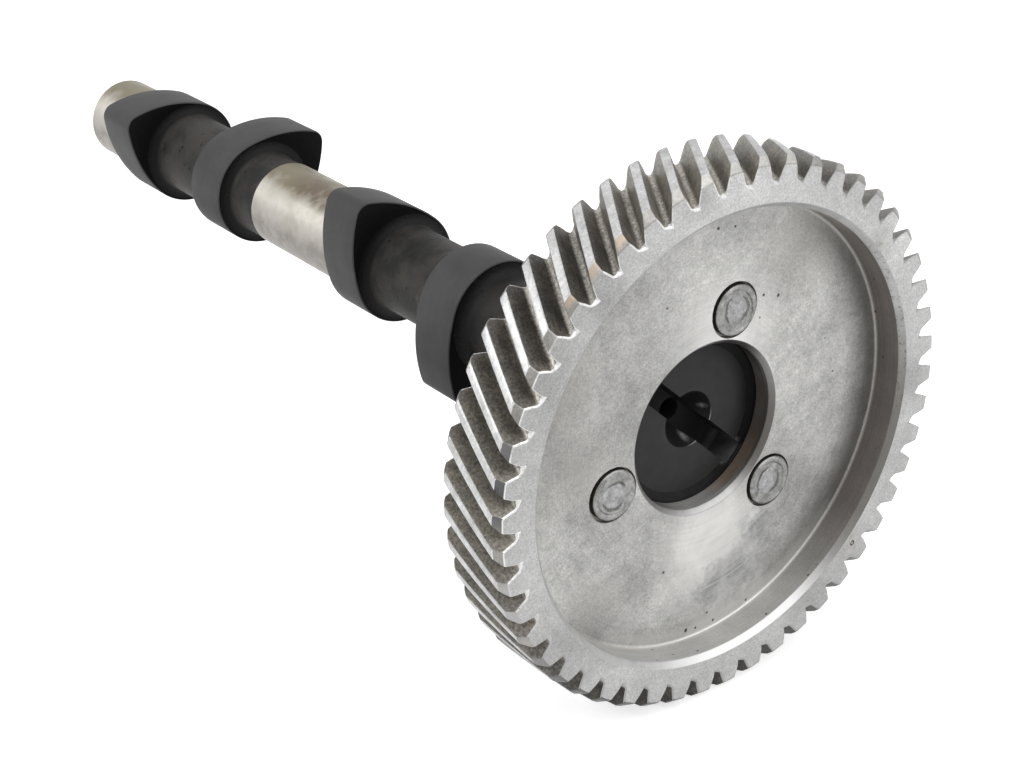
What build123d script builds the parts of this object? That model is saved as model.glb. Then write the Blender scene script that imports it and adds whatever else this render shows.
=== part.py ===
from build123d import *
import os
from math import acos, atan2, cos, degrees, radians, sin, sqrt, tan

# Camshaft of a flat-four engine with its riveted helical timing gear, in millimetres.
# The shaft lies along +Y with the gear at the -Y end, and +Z is up. The origin is on the
# shaft axis, in the middle of the thrust journal. Angles about the shaft are measured in
# the XZ plane, from +X towards +Z.

# --- Journals and necks ---
journal_radius = 12.5
journal_edge = 1.0
thrust_journal_length = 22.0
thrust_collar_radius = 16.0
thrust_collar_width = 4.0
centre_journal_length = 46.0
end_journal_length = 27.8
neck_radius = 12.2
neck_fillet = 3.0
gear_end_neck_length = 36.4
front_pair_neck_length = 28.6
centre_neck_length = 13.4
rear_pair_neck_length = 28.4
end_centre_radius = 4.0
end_pilot_radius = 2.0
end_pilot_length = 4.0

# --- Cam lobes ---
base_circle_radius = 15.85
lobe_lift = 8.8
nose_radius = 3.9
flank_radius = 38.0
front_lobe_width = 15.0
rear_lobe_width = 16.3
lobe_edge = 0.4
front_pair_angle = 180.0
rear_pair_angle = 90.0
lobe_half_separation = 56.5

# --- Gear seat on the shaft: flange, pilot boss and pump drive slot ---
flange_radius = 36.0
flange_thickness = 8.0
flange_edge = 0.8
boss_height = 2.8
boss_clearance = 0.02
boss_rim_width = 0.4
drive_face_radius = 18.4
drive_face_depth = 1.0
slot_width = 5.8
slot_depth = 7.0
slot_end_wall = 1.0
slot_angle = -42.5
centre_mouth_radius = 7.0
centre_cone_half_angle = 30.0
drive_pilot_radius = 2.75
drive_pilot_length = 9.0

# --- Timing gear ---
tooth_count = 50
pitch_radius = 65.0
addendum = 2.3
dedendum = 3.1
pressure_angle = 22.0
root_fillet = 0.55
helix_angle = 33.0
first_gap_angle = 118.0
gear_width = 20.5
tip_chamfer_radial = 1.6
tip_chamfer_axial = 1.9
recess_radius = 55.6
recess_depth = 8.9
recess_mouth_radial = 1.3
recess_mouth_axial = 1.5
recess_fillet = 0.6
web_thickness = 8.1
gear_bore_radius = 20.7
bore_chamfer_radial = 1.0
bore_chamfer_axial = 1.2
timing_mark_radius = 59.8
timing_mark_angle = -44.0
timing_mark_size = 0.9

# --- Rivets ---
rivet_count = 3
rivet_circle_radius = 29.0
first_rivet_angle = 76.0
rivet_shank_radius = 4.0
rivet_clearance = 0.05
rivet_head_radius = 6.35
rivet_head_height = 2.1
rivet_head_edge = 0.5
rivet_seat_radius = 6.9
rivet_seat_depth = 1.5
rivet_ring_radius = 3.3
rivet_ring_width = 0.5
rivet_ring_depth = 0.25
rivet_tail_radius = 5.6
rivet_tail_depth = 1.6

# --- Places along the shaft, worked out from the lengths above ---
thrust_face_y = -thrust_journal_length / 2
gear_seat_y = thrust_face_y - flange_thickness
web_front_y = gear_seat_y - web_thickness
gear_front_y = web_front_y - recess_depth
boss_rim_y = gear_seat_y - boss_height
drive_face_y = boss_rim_y + drive_face_depth
collar_y = thrust_journal_length / 2
gear_end_neck_y = collar_y + thrust_collar_width
lobe_1_y = gear_end_neck_y + gear_end_neck_length
front_pair_neck_y = lobe_1_y + front_lobe_width
lobe_2_y = front_pair_neck_y + front_pair_neck_length
centre_journal_y = lobe_2_y + front_lobe_width
centre_neck_y = centre_journal_y + centre_journal_length
lobe_3_y = centre_neck_y + centre_neck_length
rear_pair_neck_y = lobe_3_y + rear_lobe_width
lobe_4_y = rear_pair_neck_y + rear_pair_neck_length
end_journal_y = lobe_4_y + rear_lobe_width
shaft_end_y = end_journal_y + end_journal_length


def across(y):
    """Drawing plane square to the shaft at y: its x is +X and its y is +Z."""
    return Plane.XZ.offset(-y)


def turned(*corners):
    """Solid turned about the shaft axis from its (radius, y) corners."""
    return revolve(make_face(Polyline(*corners, close=True)), Axis.Y)


def place(radius, angle):
    """Point across the shaft at a radius and an angle."""
    return Vector(radius * cos(radians(angle)), radius * sin(radians(angle)))


def drilled(radius, y0, y1, at=(0, 0)):
    """Round bar from y0 to y1, centred on a point across the shaft."""
    return extrude(across(y0) * Pos(*at) * Circle(radius), -(y1 - y0))


# --- Shaft ---
def neck(y0, y1, fillet_start=True, fillet_end=True):
    """Cast neck that flares into the faces it meets through a fillet."""
    start = neck_fillet if fillet_start else 0
    end = neck_fillet if fillet_end else 0
    corner_start = (neck_radius + start, y0)
    corner_end = (neck_radius + end, y1)
    outline = Line((0, y0), corner_start)
    if fillet_start:
        outline += RadiusArc(corner_start, (neck_radius, y0 + start), neck_fillet)
    outline += Line((neck_radius, y0 + start), (neck_radius, y1 - end))
    if fillet_end:
        outline += RadiusArc((neck_radius, y1 - end), corner_end, neck_fillet)
    outline += Line(corner_end, (0, y1)) + Line((0, y1), (0, y0))
    return revolve(make_face(outline), Axis.Y)


def lobe_outline():
    """Cam outline, nose along +x: base circle, two round flanks and a nose, all tangent."""
    nose_x = base_circle_radius + lobe_lift - nose_radius
    to_base = flank_radius - base_circle_radius
    to_nose = flank_radius - nose_radius
    flank_x = (to_base**2 - to_nose**2 + nose_x**2) / (2 * nose_x)
    flank_y = sqrt(to_base**2 - flank_x**2)
    base_turn = degrees(atan2(flank_y, -flank_x))
    nose_turn = degrees(atan2(flank_y, nose_x - flank_x))
    centre = Vector(flank_x, -flank_y)
    start = place(base_circle_radius, base_turn)
    middle = centre + place(flank_radius, (base_turn + nose_turn) / 2)
    end = centre + place(flank_radius, nose_turn)
    upper = ThreePointArc(start, middle, end)
    lower = mirror(upper, Plane.XZ)
    nose_tip = (base_circle_radius + lobe_lift, 0)
    nose = ThreePointArc(end, nose_tip, (end.X, -end.Y))
    base = ThreePointArc(start, (-base_circle_radius, 0), (start.X, -start.Y))
    return make_face(Curve() + [upper, lower, nose, base])


def lobe(y, width, angle):
    """Cam lobe from y on, its nose at an angle, with both rims broken."""
    blank = extrude(across(y) * Rot(0, 0, angle) * lobe_outline(), -width)
    rims = blank.faces().filter_by(Axis.Y).edges()
    return chamfer(rims, lobe_edge)


def journals():
    """The three ground bearing journals."""
    thrust = turned((0, thrust_face_y), (journal_radius, thrust_face_y),
                    (journal_radius, collar_y), (0, collar_y))
    centre = turned((0, centre_journal_y), (journal_radius, centre_journal_y),
                    (journal_radius, centre_neck_y), (0, centre_neck_y))
    end = turned((0, end_journal_y), (journal_radius, end_journal_y),
                 (journal_radius, shaft_end_y - journal_edge),
                 (journal_radius - journal_edge, shaft_end_y), (0, shaft_end_y))
    return thrust + centre + end


def thrust_collar():
    """Collar that takes the end thrust on the far side of the thrust journal."""
    return turned((0, collar_y), (thrust_collar_radius, collar_y),
                  (thrust_collar_radius, gear_end_neck_y), (0, gear_end_neck_y))


def gear_seat():
    """Flange and pilot boss, with the shallow dished rim round the drive face."""
    boss_radius = gear_bore_radius - boss_clearance
    return turned((0, drive_face_y), (drive_face_radius, drive_face_y),
                  (boss_radius - boss_rim_width, boss_rim_y), (boss_radius, boss_rim_y),
                  (boss_radius, gear_seat_y), (flange_radius - flange_edge, gear_seat_y),
                  (flange_radius, gear_seat_y + flange_edge),
                  (flange_radius, thrust_face_y - flange_edge),
                  (flange_radius - flange_edge, thrust_face_y), (0, thrust_face_y))


def drive_slot():
    """Cutter for the slot across the boss that turns the oil pump."""
    length = 2 * (gear_bore_radius - slot_end_wall)
    outline = across(boss_rim_y) * Rot(0, 0, slot_angle) * SlotOverall(length, slot_width)
    return extrude(outline, -(drive_face_depth + slot_depth))


def centre_hole(mouth_y, mouth_radius, pilot_radius, pilot_length, inwards):
    """Cutter for a lathe centre: a cone from its mouth down to a pilot drilling."""
    cone_length = (mouth_radius - pilot_radius) / tan(radians(centre_cone_half_angle))
    cone_end_y = mouth_y + inwards * cone_length
    pilot_end_y = cone_end_y + inwards * pilot_length
    return turned((0, mouth_y), (mouth_radius, mouth_y), (pilot_radius, cone_end_y),
                  (pilot_radius, pilot_end_y), (0, pilot_end_y))


def rivet_places():
    """Points of the rivets on their circle."""
    step = 360 / rivet_count
    return [place(rivet_circle_radius, first_rivet_angle + i * step) for i in range(rivet_count)]


def countersink(at):
    """Cone that the rivet's tail fills in the back of the flange."""
    hole_radius = rivet_shank_radius + rivet_clearance
    cone = turned((0, thrust_face_y - rivet_tail_depth), (hole_radius, thrust_face_y - rivet_tail_depth),
                  (rivet_tail_radius + rivet_clearance, thrust_face_y), (0, thrust_face_y))
    return Pos(at.X, 0, at.Y) * cone


def camshaft():
    """The whole casting, machined."""
    shaft = journals() + thrust_collar() + gear_seat()
    shaft += neck(gear_end_neck_y, lobe_1_y)
    shaft += neck(front_pair_neck_y, lobe_2_y)
    shaft += neck(centre_neck_y, lobe_3_y, fillet_start=False)
    shaft += neck(rear_pair_neck_y, lobe_4_y)
    shaft += lobe(lobe_1_y, front_lobe_width, front_pair_angle + lobe_half_separation)
    shaft += lobe(lobe_2_y, front_lobe_width, front_pair_angle - lobe_half_separation)
    shaft += lobe(lobe_3_y, rear_lobe_width, rear_pair_angle - lobe_half_separation)
    shaft += lobe(lobe_4_y, rear_lobe_width, rear_pair_angle + lobe_half_separation)
    shaft -= drive_slot()
    shaft -= centre_hole(drive_face_y, centre_mouth_radius, drive_pilot_radius, drive_pilot_length, 1)
    shaft -= centre_hole(shaft_end_y, end_centre_radius, end_pilot_radius, end_pilot_length, -1)
    for at in rivet_places():
        hole = drilled(rivet_shank_radius + rivet_clearance, gear_seat_y, thrust_face_y, at)
        shaft -= hole + countersink(at)
    return shaft


# --- Timing gear ---
def gap_half_angle(radius):
    """Half the angle of a tooth gap at a radius, between two involute flanks."""
    base_radius = pitch_radius * cos(radians(pressure_angle))

    def involute(turn):
        return tan(turn) - turn

    widening = involute(acos(base_radius / radius)) - involute(radians(pressure_angle))
    return 90 / tooth_count + degrees(widening)


def tooth_gap():
    """Cutter for one tooth gap: its outline, twisted along the helix past both faces."""
    root_radius = pitch_radius - dedendum
    outer_radius = pitch_radius + 2 * addendum
    middle_radius = (root_radius + outer_radius) / 2
    right = [place(r, -gap_half_angle(r)) for r in (outer_radius, middle_radius, root_radius)]
    left = [Vector(p.X, -p.Y) for p in right]
    flanks = [ThreePointArc(*right), Line(right[2], left[2]), ThreePointArc(*left), Line(left[0], right[0])]
    outline = make_face(Curve() + flanks)
    bottom = outline.vertices().sort_by(Axis.X)[:2]
    outline = fillet(bottom, root_fillet)
    overrun = addendum
    length = gear_width + 2 * overrun
    twist_per_mm = degrees(tan(radians(helix_angle)) / pitch_radius)
    start_angle = first_gap_angle + overrun * twist_per_mm
    section = across(gear_front_y - overrun) * Rot(0, 0, start_angle) * outline
    start = Vector(0, gear_front_y - overrun, 0)
    return Solid.extrude_linear_with_rotation(
        section.face(), start, Vector(0, length, 0), length * twist_per_mm)


def gear_blank():
    """Turned gear: rim with chamfered tips, front and back recess, web and bore."""
    tip_radius = pitch_radius + addendum
    back_y = gear_front_y + gear_width
    outline = Polyline(
        (gear_bore_radius, gear_seat_y), (gear_bore_radius, web_front_y + bore_chamfer_axial),
        (gear_bore_radius + bore_chamfer_radial, web_front_y), (recess_radius, web_front_y),
        (recess_radius, gear_front_y + recess_mouth_axial),
        (recess_radius + recess_mouth_radial, gear_front_y),
        (tip_radius - tip_chamfer_radial, gear_front_y), (tip_radius, gear_front_y + tip_chamfer_axial),
        (tip_radius, back_y - tip_chamfer_axial), (tip_radius - tip_chamfer_radial, back_y),
        (recess_radius, back_y), (recess_radius, gear_seat_y), close=True)
    section = make_face(outline)
    recess_corners = [v for v in section.vertices()
                      if abs(v.X - recess_radius) < 0.01 and abs(v.Y - web_front_y) < 0.01]
    return revolve(fillet(recess_corners, recess_fillet), Axis.Y)


def timing_mark():
    """Cutter for the punched dimple on the rim that sets the valve timing."""
    at = place(timing_mark_radius, timing_mark_angle)
    cone = turned((0, gear_front_y), (timing_mark_size, gear_front_y), (0, gear_front_y + timing_mark_size))
    return Pos(at.X, 0, at.Y) * cone


def timing_gear():
    """Helical timing gear."""
    gear = gear_blank()
    gap = tooth_gap()
    step = 360 / tooth_count
    gear = gear.cut(*[Rot(0, i * step, 0) * gap for i in range(tooth_count)])
    for at in rivet_places():
        gear -= drilled(rivet_shank_radius + rivet_clearance, web_front_y, gear_seat_y, at)
        gear -= drilled(rivet_seat_radius, web_front_y, web_front_y + rivet_seat_depth, at)
    return gear - timing_mark()


# --- Rivets ---
def rivet():
    """Rivet on the shaft axis: ringed head, shank and a tail upset flush in the flange."""
    seat_y = web_front_y + rivet_seat_depth
    head_y = seat_y - rivet_head_height
    ring_inner = rivet_ring_radius - rivet_ring_width / 2
    ring_outer = rivet_ring_radius + rivet_ring_width / 2
    return turned(
        (0, head_y), (ring_inner, head_y), (rivet_ring_radius, head_y + rivet_ring_depth),
        (ring_outer, head_y), (rivet_head_radius - rivet_head_edge, head_y),
        (rivet_head_radius, head_y + rivet_head_edge), (rivet_head_radius, seat_y),
        (rivet_shank_radius, seat_y), (rivet_shank_radius, thrust_face_y - rivet_tail_depth),
        (rivet_tail_radius, thrust_face_y), (0, thrust_face_y))


def gear_rivets():
    """The rivets, set in the gear's web and the flange."""
    return Compound(children=[Pos(at.X, 0, at.Y) * rivet() for at in rivet_places()])


os.makedirs("parts", exist_ok=True)
export_step(camshaft(), "parts/camshaft.step")
export_step(timing_gear(), "parts/timing_gear.step")
export_step(gear_rivets(), "parts/gear_rivets.step")
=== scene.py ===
"""Camshaft of a flat-four engine with its riveted helical timing gear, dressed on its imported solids."""

import math

import bmesh
import bpy
import numpy as np
from bpy.props import FloatProperty, FloatVectorProperty, IntProperty, PointerProperty
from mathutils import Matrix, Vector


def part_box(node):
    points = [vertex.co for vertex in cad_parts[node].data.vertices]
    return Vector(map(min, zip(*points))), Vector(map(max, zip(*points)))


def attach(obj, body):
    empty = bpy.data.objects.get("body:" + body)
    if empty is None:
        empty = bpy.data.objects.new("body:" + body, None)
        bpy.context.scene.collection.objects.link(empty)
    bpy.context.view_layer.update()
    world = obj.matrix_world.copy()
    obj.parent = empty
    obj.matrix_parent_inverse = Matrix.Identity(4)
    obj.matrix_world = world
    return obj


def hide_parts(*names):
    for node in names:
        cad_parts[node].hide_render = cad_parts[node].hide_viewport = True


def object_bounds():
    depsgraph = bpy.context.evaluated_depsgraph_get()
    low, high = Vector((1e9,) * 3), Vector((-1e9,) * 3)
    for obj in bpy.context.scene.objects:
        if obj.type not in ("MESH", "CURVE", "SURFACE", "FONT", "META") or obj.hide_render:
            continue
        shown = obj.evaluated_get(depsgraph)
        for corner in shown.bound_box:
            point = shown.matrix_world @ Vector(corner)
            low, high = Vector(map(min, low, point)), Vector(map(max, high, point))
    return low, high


bl_info = {
    "name": "Flat-four camshaft",
    "version": (1, 0, 0),
    "blender": (4, 5, 0),
    "location": "View3D > Sidebar > Camshaft",
    "description": "Builds a camshaft casting, its helical timing gear and the rivets between them",
    "category": "Object",
}

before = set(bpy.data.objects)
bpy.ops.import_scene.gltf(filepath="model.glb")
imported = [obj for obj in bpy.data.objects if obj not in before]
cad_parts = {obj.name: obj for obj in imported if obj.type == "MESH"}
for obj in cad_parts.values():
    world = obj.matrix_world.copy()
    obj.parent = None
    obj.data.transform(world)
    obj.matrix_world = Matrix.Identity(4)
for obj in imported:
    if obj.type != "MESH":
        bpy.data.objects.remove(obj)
cad_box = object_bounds()

MM = 0.001
FULL_TURN = 2 * math.pi
MERGE_DISTANCE = 0.0004 * MM
SHARP_ANGLE = math.radians(32)
SHAFT_COLUMNS = 336
RIVET_COLUMNS = 96
SMALL_EDGE = 0.15 * MM
SHAFT_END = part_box("camshaft")[1].y
LOWEST_POINT = cad_box[0].z


def length(name, description, millimetres):
    """Property for a size along a line."""
    return FloatProperty(name=name, description=description, default=millimetres * MM,
                         min=0, precision=5, unit="LENGTH")


def place_on_axis(name, description, metres):
    """Property for a place along the shaft, which may be negative."""
    return FloatProperty(name=name, description=description, default=metres,
                         precision=5, unit="LENGTH")


def turn(name, description, degrees):
    """Property for an angle about the shaft, from +X towards +Z."""
    return FloatProperty(name=name, description=description, default=math.radians(degrees),
                         subtype="ANGLE", unit="ROTATION")


def colour(name, description, *rgb):
    """Property for a paint or metal colour."""
    return FloatVectorProperty(name=name, description=description, default=rgb,
                               subtype="COLOR", size=3, min=0, max=1)


# --- Sizes and colours that a user would change ---
class ShaftSizes(bpy.types.PropertyGroup):
    """Sizes of the camshaft casting, from the gear end to the far end."""
    journal_radius: length("Journal radius", "Radius of the three ground bearing journals", 12.5)
    journal_edge: length("Journal edge", "Chamfer on the far end of the last journal", 1.0)
    thrust_length: length("Thrust journal length", "Length of the journal beside the flange", 22)
    collar_radius: length("Collar radius", "Radius of the collar that takes the end thrust", 16)
    collar_width: length("Collar width", "Width of the thrust collar", 4)
    neck_radius: length("Neck radius", "Radius of the cast necks", 12.2)
    neck_fillet: length("Neck fillet", "Radius of the flare where a neck meets a lobe", 3)
    gear_end_neck: length("Gear end neck", "Length of the neck behind the thrust collar", 36.4)
    front_neck: length("Front pair neck", "Length of the neck between the front lobes", 28.6)
    centre_neck: length("Centre neck", "Length of the neck behind the centre journal", 13.4)
    rear_neck: length("Rear pair neck", "Length of the neck between the rear lobes", 28.4)
    centre_length: length("Centre journal length", "Length of the middle journal", 46)
    cast_ripple: length("Cast ripple", "How far the as-cast necks wander from round", 0.07)
    cast_shoulder: length("Cast shoulder", "Height of the rough ring behind the first lobe", 0.9)
    foot_radius: length("Foot radius", "Rounding where the thrust journal meets the flange", 1.2)
    thrust_start: length("Thrust start", "Distance from the flange to the ground journal", 3)
    end_margin: length("End margin", "Distance from the last journal's chamfer to its ground part", 0.5)


class LobeSizes(bpy.types.PropertyGroup):
    """Shape of the four cam lobes."""
    base_radius: length("Base circle", "Radius of the base circle", 15.85)
    lift: length("Lift", "Height of the nose over the base circle", 8.8)
    nose_radius: length("Nose radius", "Radius of the nose", 3.9)
    flank_radius: length("Flank radius", "Radius of the two round flanks", 38)
    front_width: length("Front lobe width", "Width of the two lobes nearer the gear", 15)
    rear_width: length("Rear lobe width", "Width of the two lobes further from the gear", 16.3)
    edge: length("Lobe edge", "Rounding of the lobes' rims", 0.4)
    front_angle: turn("Front pair angle", "Middle of the two front noses", 180)
    rear_angle: turn("Rear pair angle", "Middle of the two rear noses", 90)
    half_separation: turn("Half separation", "Half the angle between the noses of a pair", 56.5)


class DriveEndSizes(bpy.types.PropertyGroup):
    """Flange, pilot boss and pump drive slot at the gear end."""
    seat_y: place_on_axis("Gear seat", "Place of the flange face that carries the gear", -0.019)
    flange_radius: length("Flange radius", "Radius of the rivet flange", 36)
    flange_thickness: length("Flange thickness", "Thickness of the rivet flange", 8)
    flange_edge: length("Flange edge", "Chamfer on the flange's rims", 0.8)
    boss_radius: length("Boss radius", "Radius of the pilot boss in the gear's bore", 20.68)
    boss_height: length("Boss height", "Height of the pilot boss over the gear seat", 2.8)
    rim_width: length("Boss rim width", "Width of the flat rim of the boss", 0.4)
    face_radius: length("Drive face radius", "Radius of the flat drive face", 18.4)
    face_depth: length("Drive face depth", "How far the drive face lies below the rim", 1.0)
    slot_width: length("Slot width", "Width of the pump drive slot", 5.8)
    slot_reach: length("Slot reach", "Distance from the axis to the ends of the slot", 20)
    slot_depth: length("Slot depth", "Depth of the slot below the drive face", 7)
    slot_angle: turn("Slot angle", "Direction of the slot across the boss", -42.5)
    centre_radius: length("Centre mouth", "Radius of the lathe centre's mouth", 7)
    far_centre_radius: length("Far centre mouth", "Radius of the lathe centre at the far end", 4)
    pilot_radius: length("Drive end pilot", "Radius of the pilot drilling at the drive end", 2.75)
    pilot_length: length("Drive end pilot length", "Length of that pilot drilling", 9)
    far_pilot_radius: length("Far pilot", "Radius of the pilot drilling at the far end", 2)
    far_pilot_length: length("Far pilot length", "Length of that pilot drilling", 4)
    cone_half_angle: turn("Centre cone", "Half the angle of the lathe centres' cones", 30)


class GearSizes(bpy.types.PropertyGroup):
    """Sizes of the helical timing gear."""
    teeth: IntProperty(name="Teeth", description="Number of teeth", default=50, min=8)
    front_y: place_on_axis("Front face", "Place of the gear's front face", -0.036)
    width: length("Face width", "Width of the toothed rim", 20.5)
    pitch_radius: length("Pitch radius", "Radius of the pitch circle", 65)
    addendum: length("Addendum", "Height of the teeth over the pitch circle", 2.3)
    dedendum: length("Dedendum", "Depth of the gaps under the pitch circle", 3.1)
    pressure_angle: turn("Pressure angle", "Pressure angle of the involute flanks", 22)
    helix_angle: turn("Helix angle", "Angle of the teeth to the shaft at the pitch circle", 33)
    first_gap: turn("First gap", "Middle of one tooth gap on the front face", 118)
    root_fillet: length("Root fillet", "Radius in the corners of the gaps", 1.1)
    burr: length("Broken edge", "Rounding of the edges round the ends of the gaps", 0.28)
    acute_break: FloatProperty(name="Sharp side", min=1, default=4.6,
                               description="How much wider the broken edge is on a gap's sharp side")
    tip_edge: length("Tip edge", "Rounding of the edges along the tips", 0.42)
    tip_chamfer_radial: length("Tip chamfer, radial", "Radial size of the chamfer on the tips", 1.6)
    tip_chamfer_axial: length("Tip chamfer, axial", "Axial size of the chamfer on the tips", 1.9)
    recess_radius: length("Recess radius", "Radius of the recesses on both sides", 55.6)
    recess_depth: length("Recess depth", "Depth of the front recess", 8.9)
    mouth_radial: length("Mouth chamfer, radial", "Radial size of the recess mouth's chamfer", 1.3)
    mouth_axial: length("Mouth chamfer, axial", "Axial size of the recess mouth's chamfer", 1.5)
    recess_fillet: length("Recess fillet", "Radius at the foot of the recess wall", 0.95)
    web_thickness: length("Web thickness", "Thickness of the web", 8.1)
    bore_radius: length("Bore radius", "Radius of the bore over the boss", 20.7)
    bore_chamfer_radial: length("Bore chamfer, radial", "Radial size of the bore's chamfer", 1.0)
    bore_chamfer_axial: length("Bore chamfer, axial", "Axial size of the bore's chamfer", 1.2)
    root_land: length("Root land", "Width of the plain ring under the tooth gaps", 1.6)
    mark_circle: length("Timing mark circle", "Radius of the circle that the timing mark is on", 59.5)
    mark_angle: turn("Timing mark angle", "Angle of the timing mark", -44)
    mark_size: length("Timing mark size", "Radius of the punched timing mark", 0.78)


class RivetSizes(bpy.types.PropertyGroup):
    """Sizes of the rivets and their seats."""
    count: IntProperty(name="Rivets", description="Number of rivets", default=3, min=1)
    circle: length("Rivet circle", "Radius of the circle that the rivets are on", 29)
    first: turn("First rivet", "Angle of the first rivet", 76)
    shank_radius: length("Shank radius", "Radius of the shank", 4)
    clearance: length("Clearance", "Gap between a rivet and its hole", 0.05)
    head_radius: length("Head radius", "Radius of the head", 6.35)
    head_height: length("Head height", "Height of the head over its seat", 2.1)
    head_edge: length("Head edge", "Rounding of the head's rim", 1.0)
    head_drift: length("Head drift", "How far the setting tool pushed a head's rim off centre", 0.42)
    drift_turn: turn("Drift direction", "Direction that the rims were pushed in", -20.0535)
    seat_radius: length("Seat radius", "Radius of the counterbore", 6.9)
    seat_depth: length("Seat depth", "Depth of the counterbore", 1.5)
    ring_radius: length("Ring radius", "Radius of the ring that the setting tool left", 3.3)
    ring_width: length("Ring width", "Width of that ring", 0.85)
    ring_depth: length("Ring depth", "Depth of that ring", 0.32)
    tail_radius: length("Tail radius", "Radius of the tail on the flange's back", 5.6)
    tail_depth: length("Tail depth", "Depth of the countersink that the tail fills", 1.6)


class Finishes(bpy.types.PropertyGroup):
    """Colours of the metals and coatings, and of some painted light and shade."""
    alloy: colour("Gear alloy", "Machined light alloy", 0.45, 0.447, 0.435)
    alloy_rim: colour("Rim alloy", "Finer turned alloy of the toothed rim", 0.475, 0.475, 0.472)
    # This stain colour also paints shade on the lower right of the chamfers.
    alloy_stain_and_shade: colour("Alloy stain", "Brown grey stain on the alloy", 0.30, 0.283, 0.255)
    smear: colour("Smear", "Grey smears on the web", 0.2, 0.2, 0.205)
    # Painted highlight at the foot of the recess wall, weaker on the right.
    foot_highlight: colour("Bare foot", "Bare alloy at the foot of the recess wall", 0.56, 0.53, 0.47)
    bore_brown: colour("Bore brown", "Brown stain on one side of the bore", 0.2, 0.135, 0.088)
    # Tarnish and pits, and also painted shade in the recess's right corner, on its wall, in the bore and
    # round the bore's chamfer.
    tarnish_and_shade: colour("Tarnish", "Dark brown tarnish in the corners of the recess", 0.115, 0.104, 0.096)
    alloy_bright: colour("Bright alloy", "Alloy of the tooth tips", 0.45, 0.452, 0.45)
    # Painted highlights on the broken edges and on the edges of some tip chamfers.
    burr_highlight: colour("Burred alloy", "Bright edges round the teeth", 0.92, 0.92, 0.91)
    # Also painted shade in heavy oil patches on the flanks and on the rivets' sides.
    flank_dark: colour("Flank residue", "Dark oil residue on the tooth flanks", 0.15, 0.138, 0.122)
    # Also painted light on the flanks at the left and the top.
    thin_oil_and_light: colour("Thin oil", "Thin film of oil on the flanks", 0.28, 0.265, 0.225)
    # Painted highlight along the roots of the gaps.
    root_highlight: colour("Pale root", "Rubbed alloy in the roots of the gaps", 0.66, 0.63, 0.57)
    dark_tip: colour("Dark tip", "Residue on the chamfers of some tips", 0.06, 0.06, 0.068)
    straw: colour("Straw tint", "Dried oil on some of the teeth", 0.46, 0.37, 0.28)
    phosphate: colour("Phosphate", "Dark coating on the lobes' running faces", 0.062, 0.062, 0.062)
    cast_skin: colour("Cast skin", "Dark coating on the cast necks", 0.030, 0.029, 0.028)
    brown_bloom: colour("Brown bloom", "Brown bloom on the cast necks", 0.047, 0.041, 0.037)
    lobe_side: colour("Lobe side", "Coating on the sides of the lobes", 0.006, 0.006, 0.006)
    drive_face: colour("Drive face", "Coating on the slotted boss", 0.027, 0.027, 0.027)
    ground_steel: colour("Ground journal", "Ground surface of the journals", 0.56, 0.53, 0.48)
    journal_stain: colour("Journal stain", "Olive brown stain on the journals", 0.215, 0.19, 0.13)
    journal_brown: colour("Journal brown", "Brown patch on top of a journal", 0.15, 0.118, 0.083)
    # Painted shade on the underside of the journals.
    journal_shade: colour("Journal grey", "Dull underside of the journals", 0.195, 0.18, 0.168)
    rivet: colour("Rivet", "Plain steel of the rivets", 0.29, 0.29, 0.28)
    rivet_middle: colour("Rivet middle", "Middle of the heads, inside the ring", 0.33, 0.33, 0.335)


class StageSettings(bpy.types.PropertyGroup):
    """Floor, lamps and camera."""
    floor_size: length("Floor size", "Side of the floor", 6000)
    floor_height: place_on_axis("Floor height", "Height of the floor", LOWEST_POINT)
    camera_azimuth: turn("Camera azimuth", "Azimuth that the camera looks from", -37.29)
    camera_elevation: turn("Camera elevation", "Height of the camera over the horizon", 25.90)
    camera_place: FloatVectorProperty(
        name="Camera place", description="Where the camera stands", subtype="TRANSLATION",
        unit="LENGTH", default=(-0.2863, -0.3291, 0.2122))
    camera_lens: FloatProperty(name="Camera lens", description="Focal length in millimetres",
                               default=70.94, min=1)
    room_light: FloatProperty(name="Room light", description="Strength of the even light all round",
                              default=0.24, min=0)
    key_power: FloatProperty(name="Key power", description="Power of the wide lamp overhead",
                             default=14.0, min=0, unit="POWER")
    key_size: length("Key size", "Width of the lamp overhead", 1800)
    fill_size: length("Fill size", "Width of the lamp behind on the left", 700)
    floor_glow: FloatProperty(name="Floor glow", description="How far the floor is lifted to white",
                              default=0.62, min=0)
    fill_power: FloatProperty(name="Fill power", description="Power of the lamp behind on the left",
                              default=6.0, min=0, unit="POWER")


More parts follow.
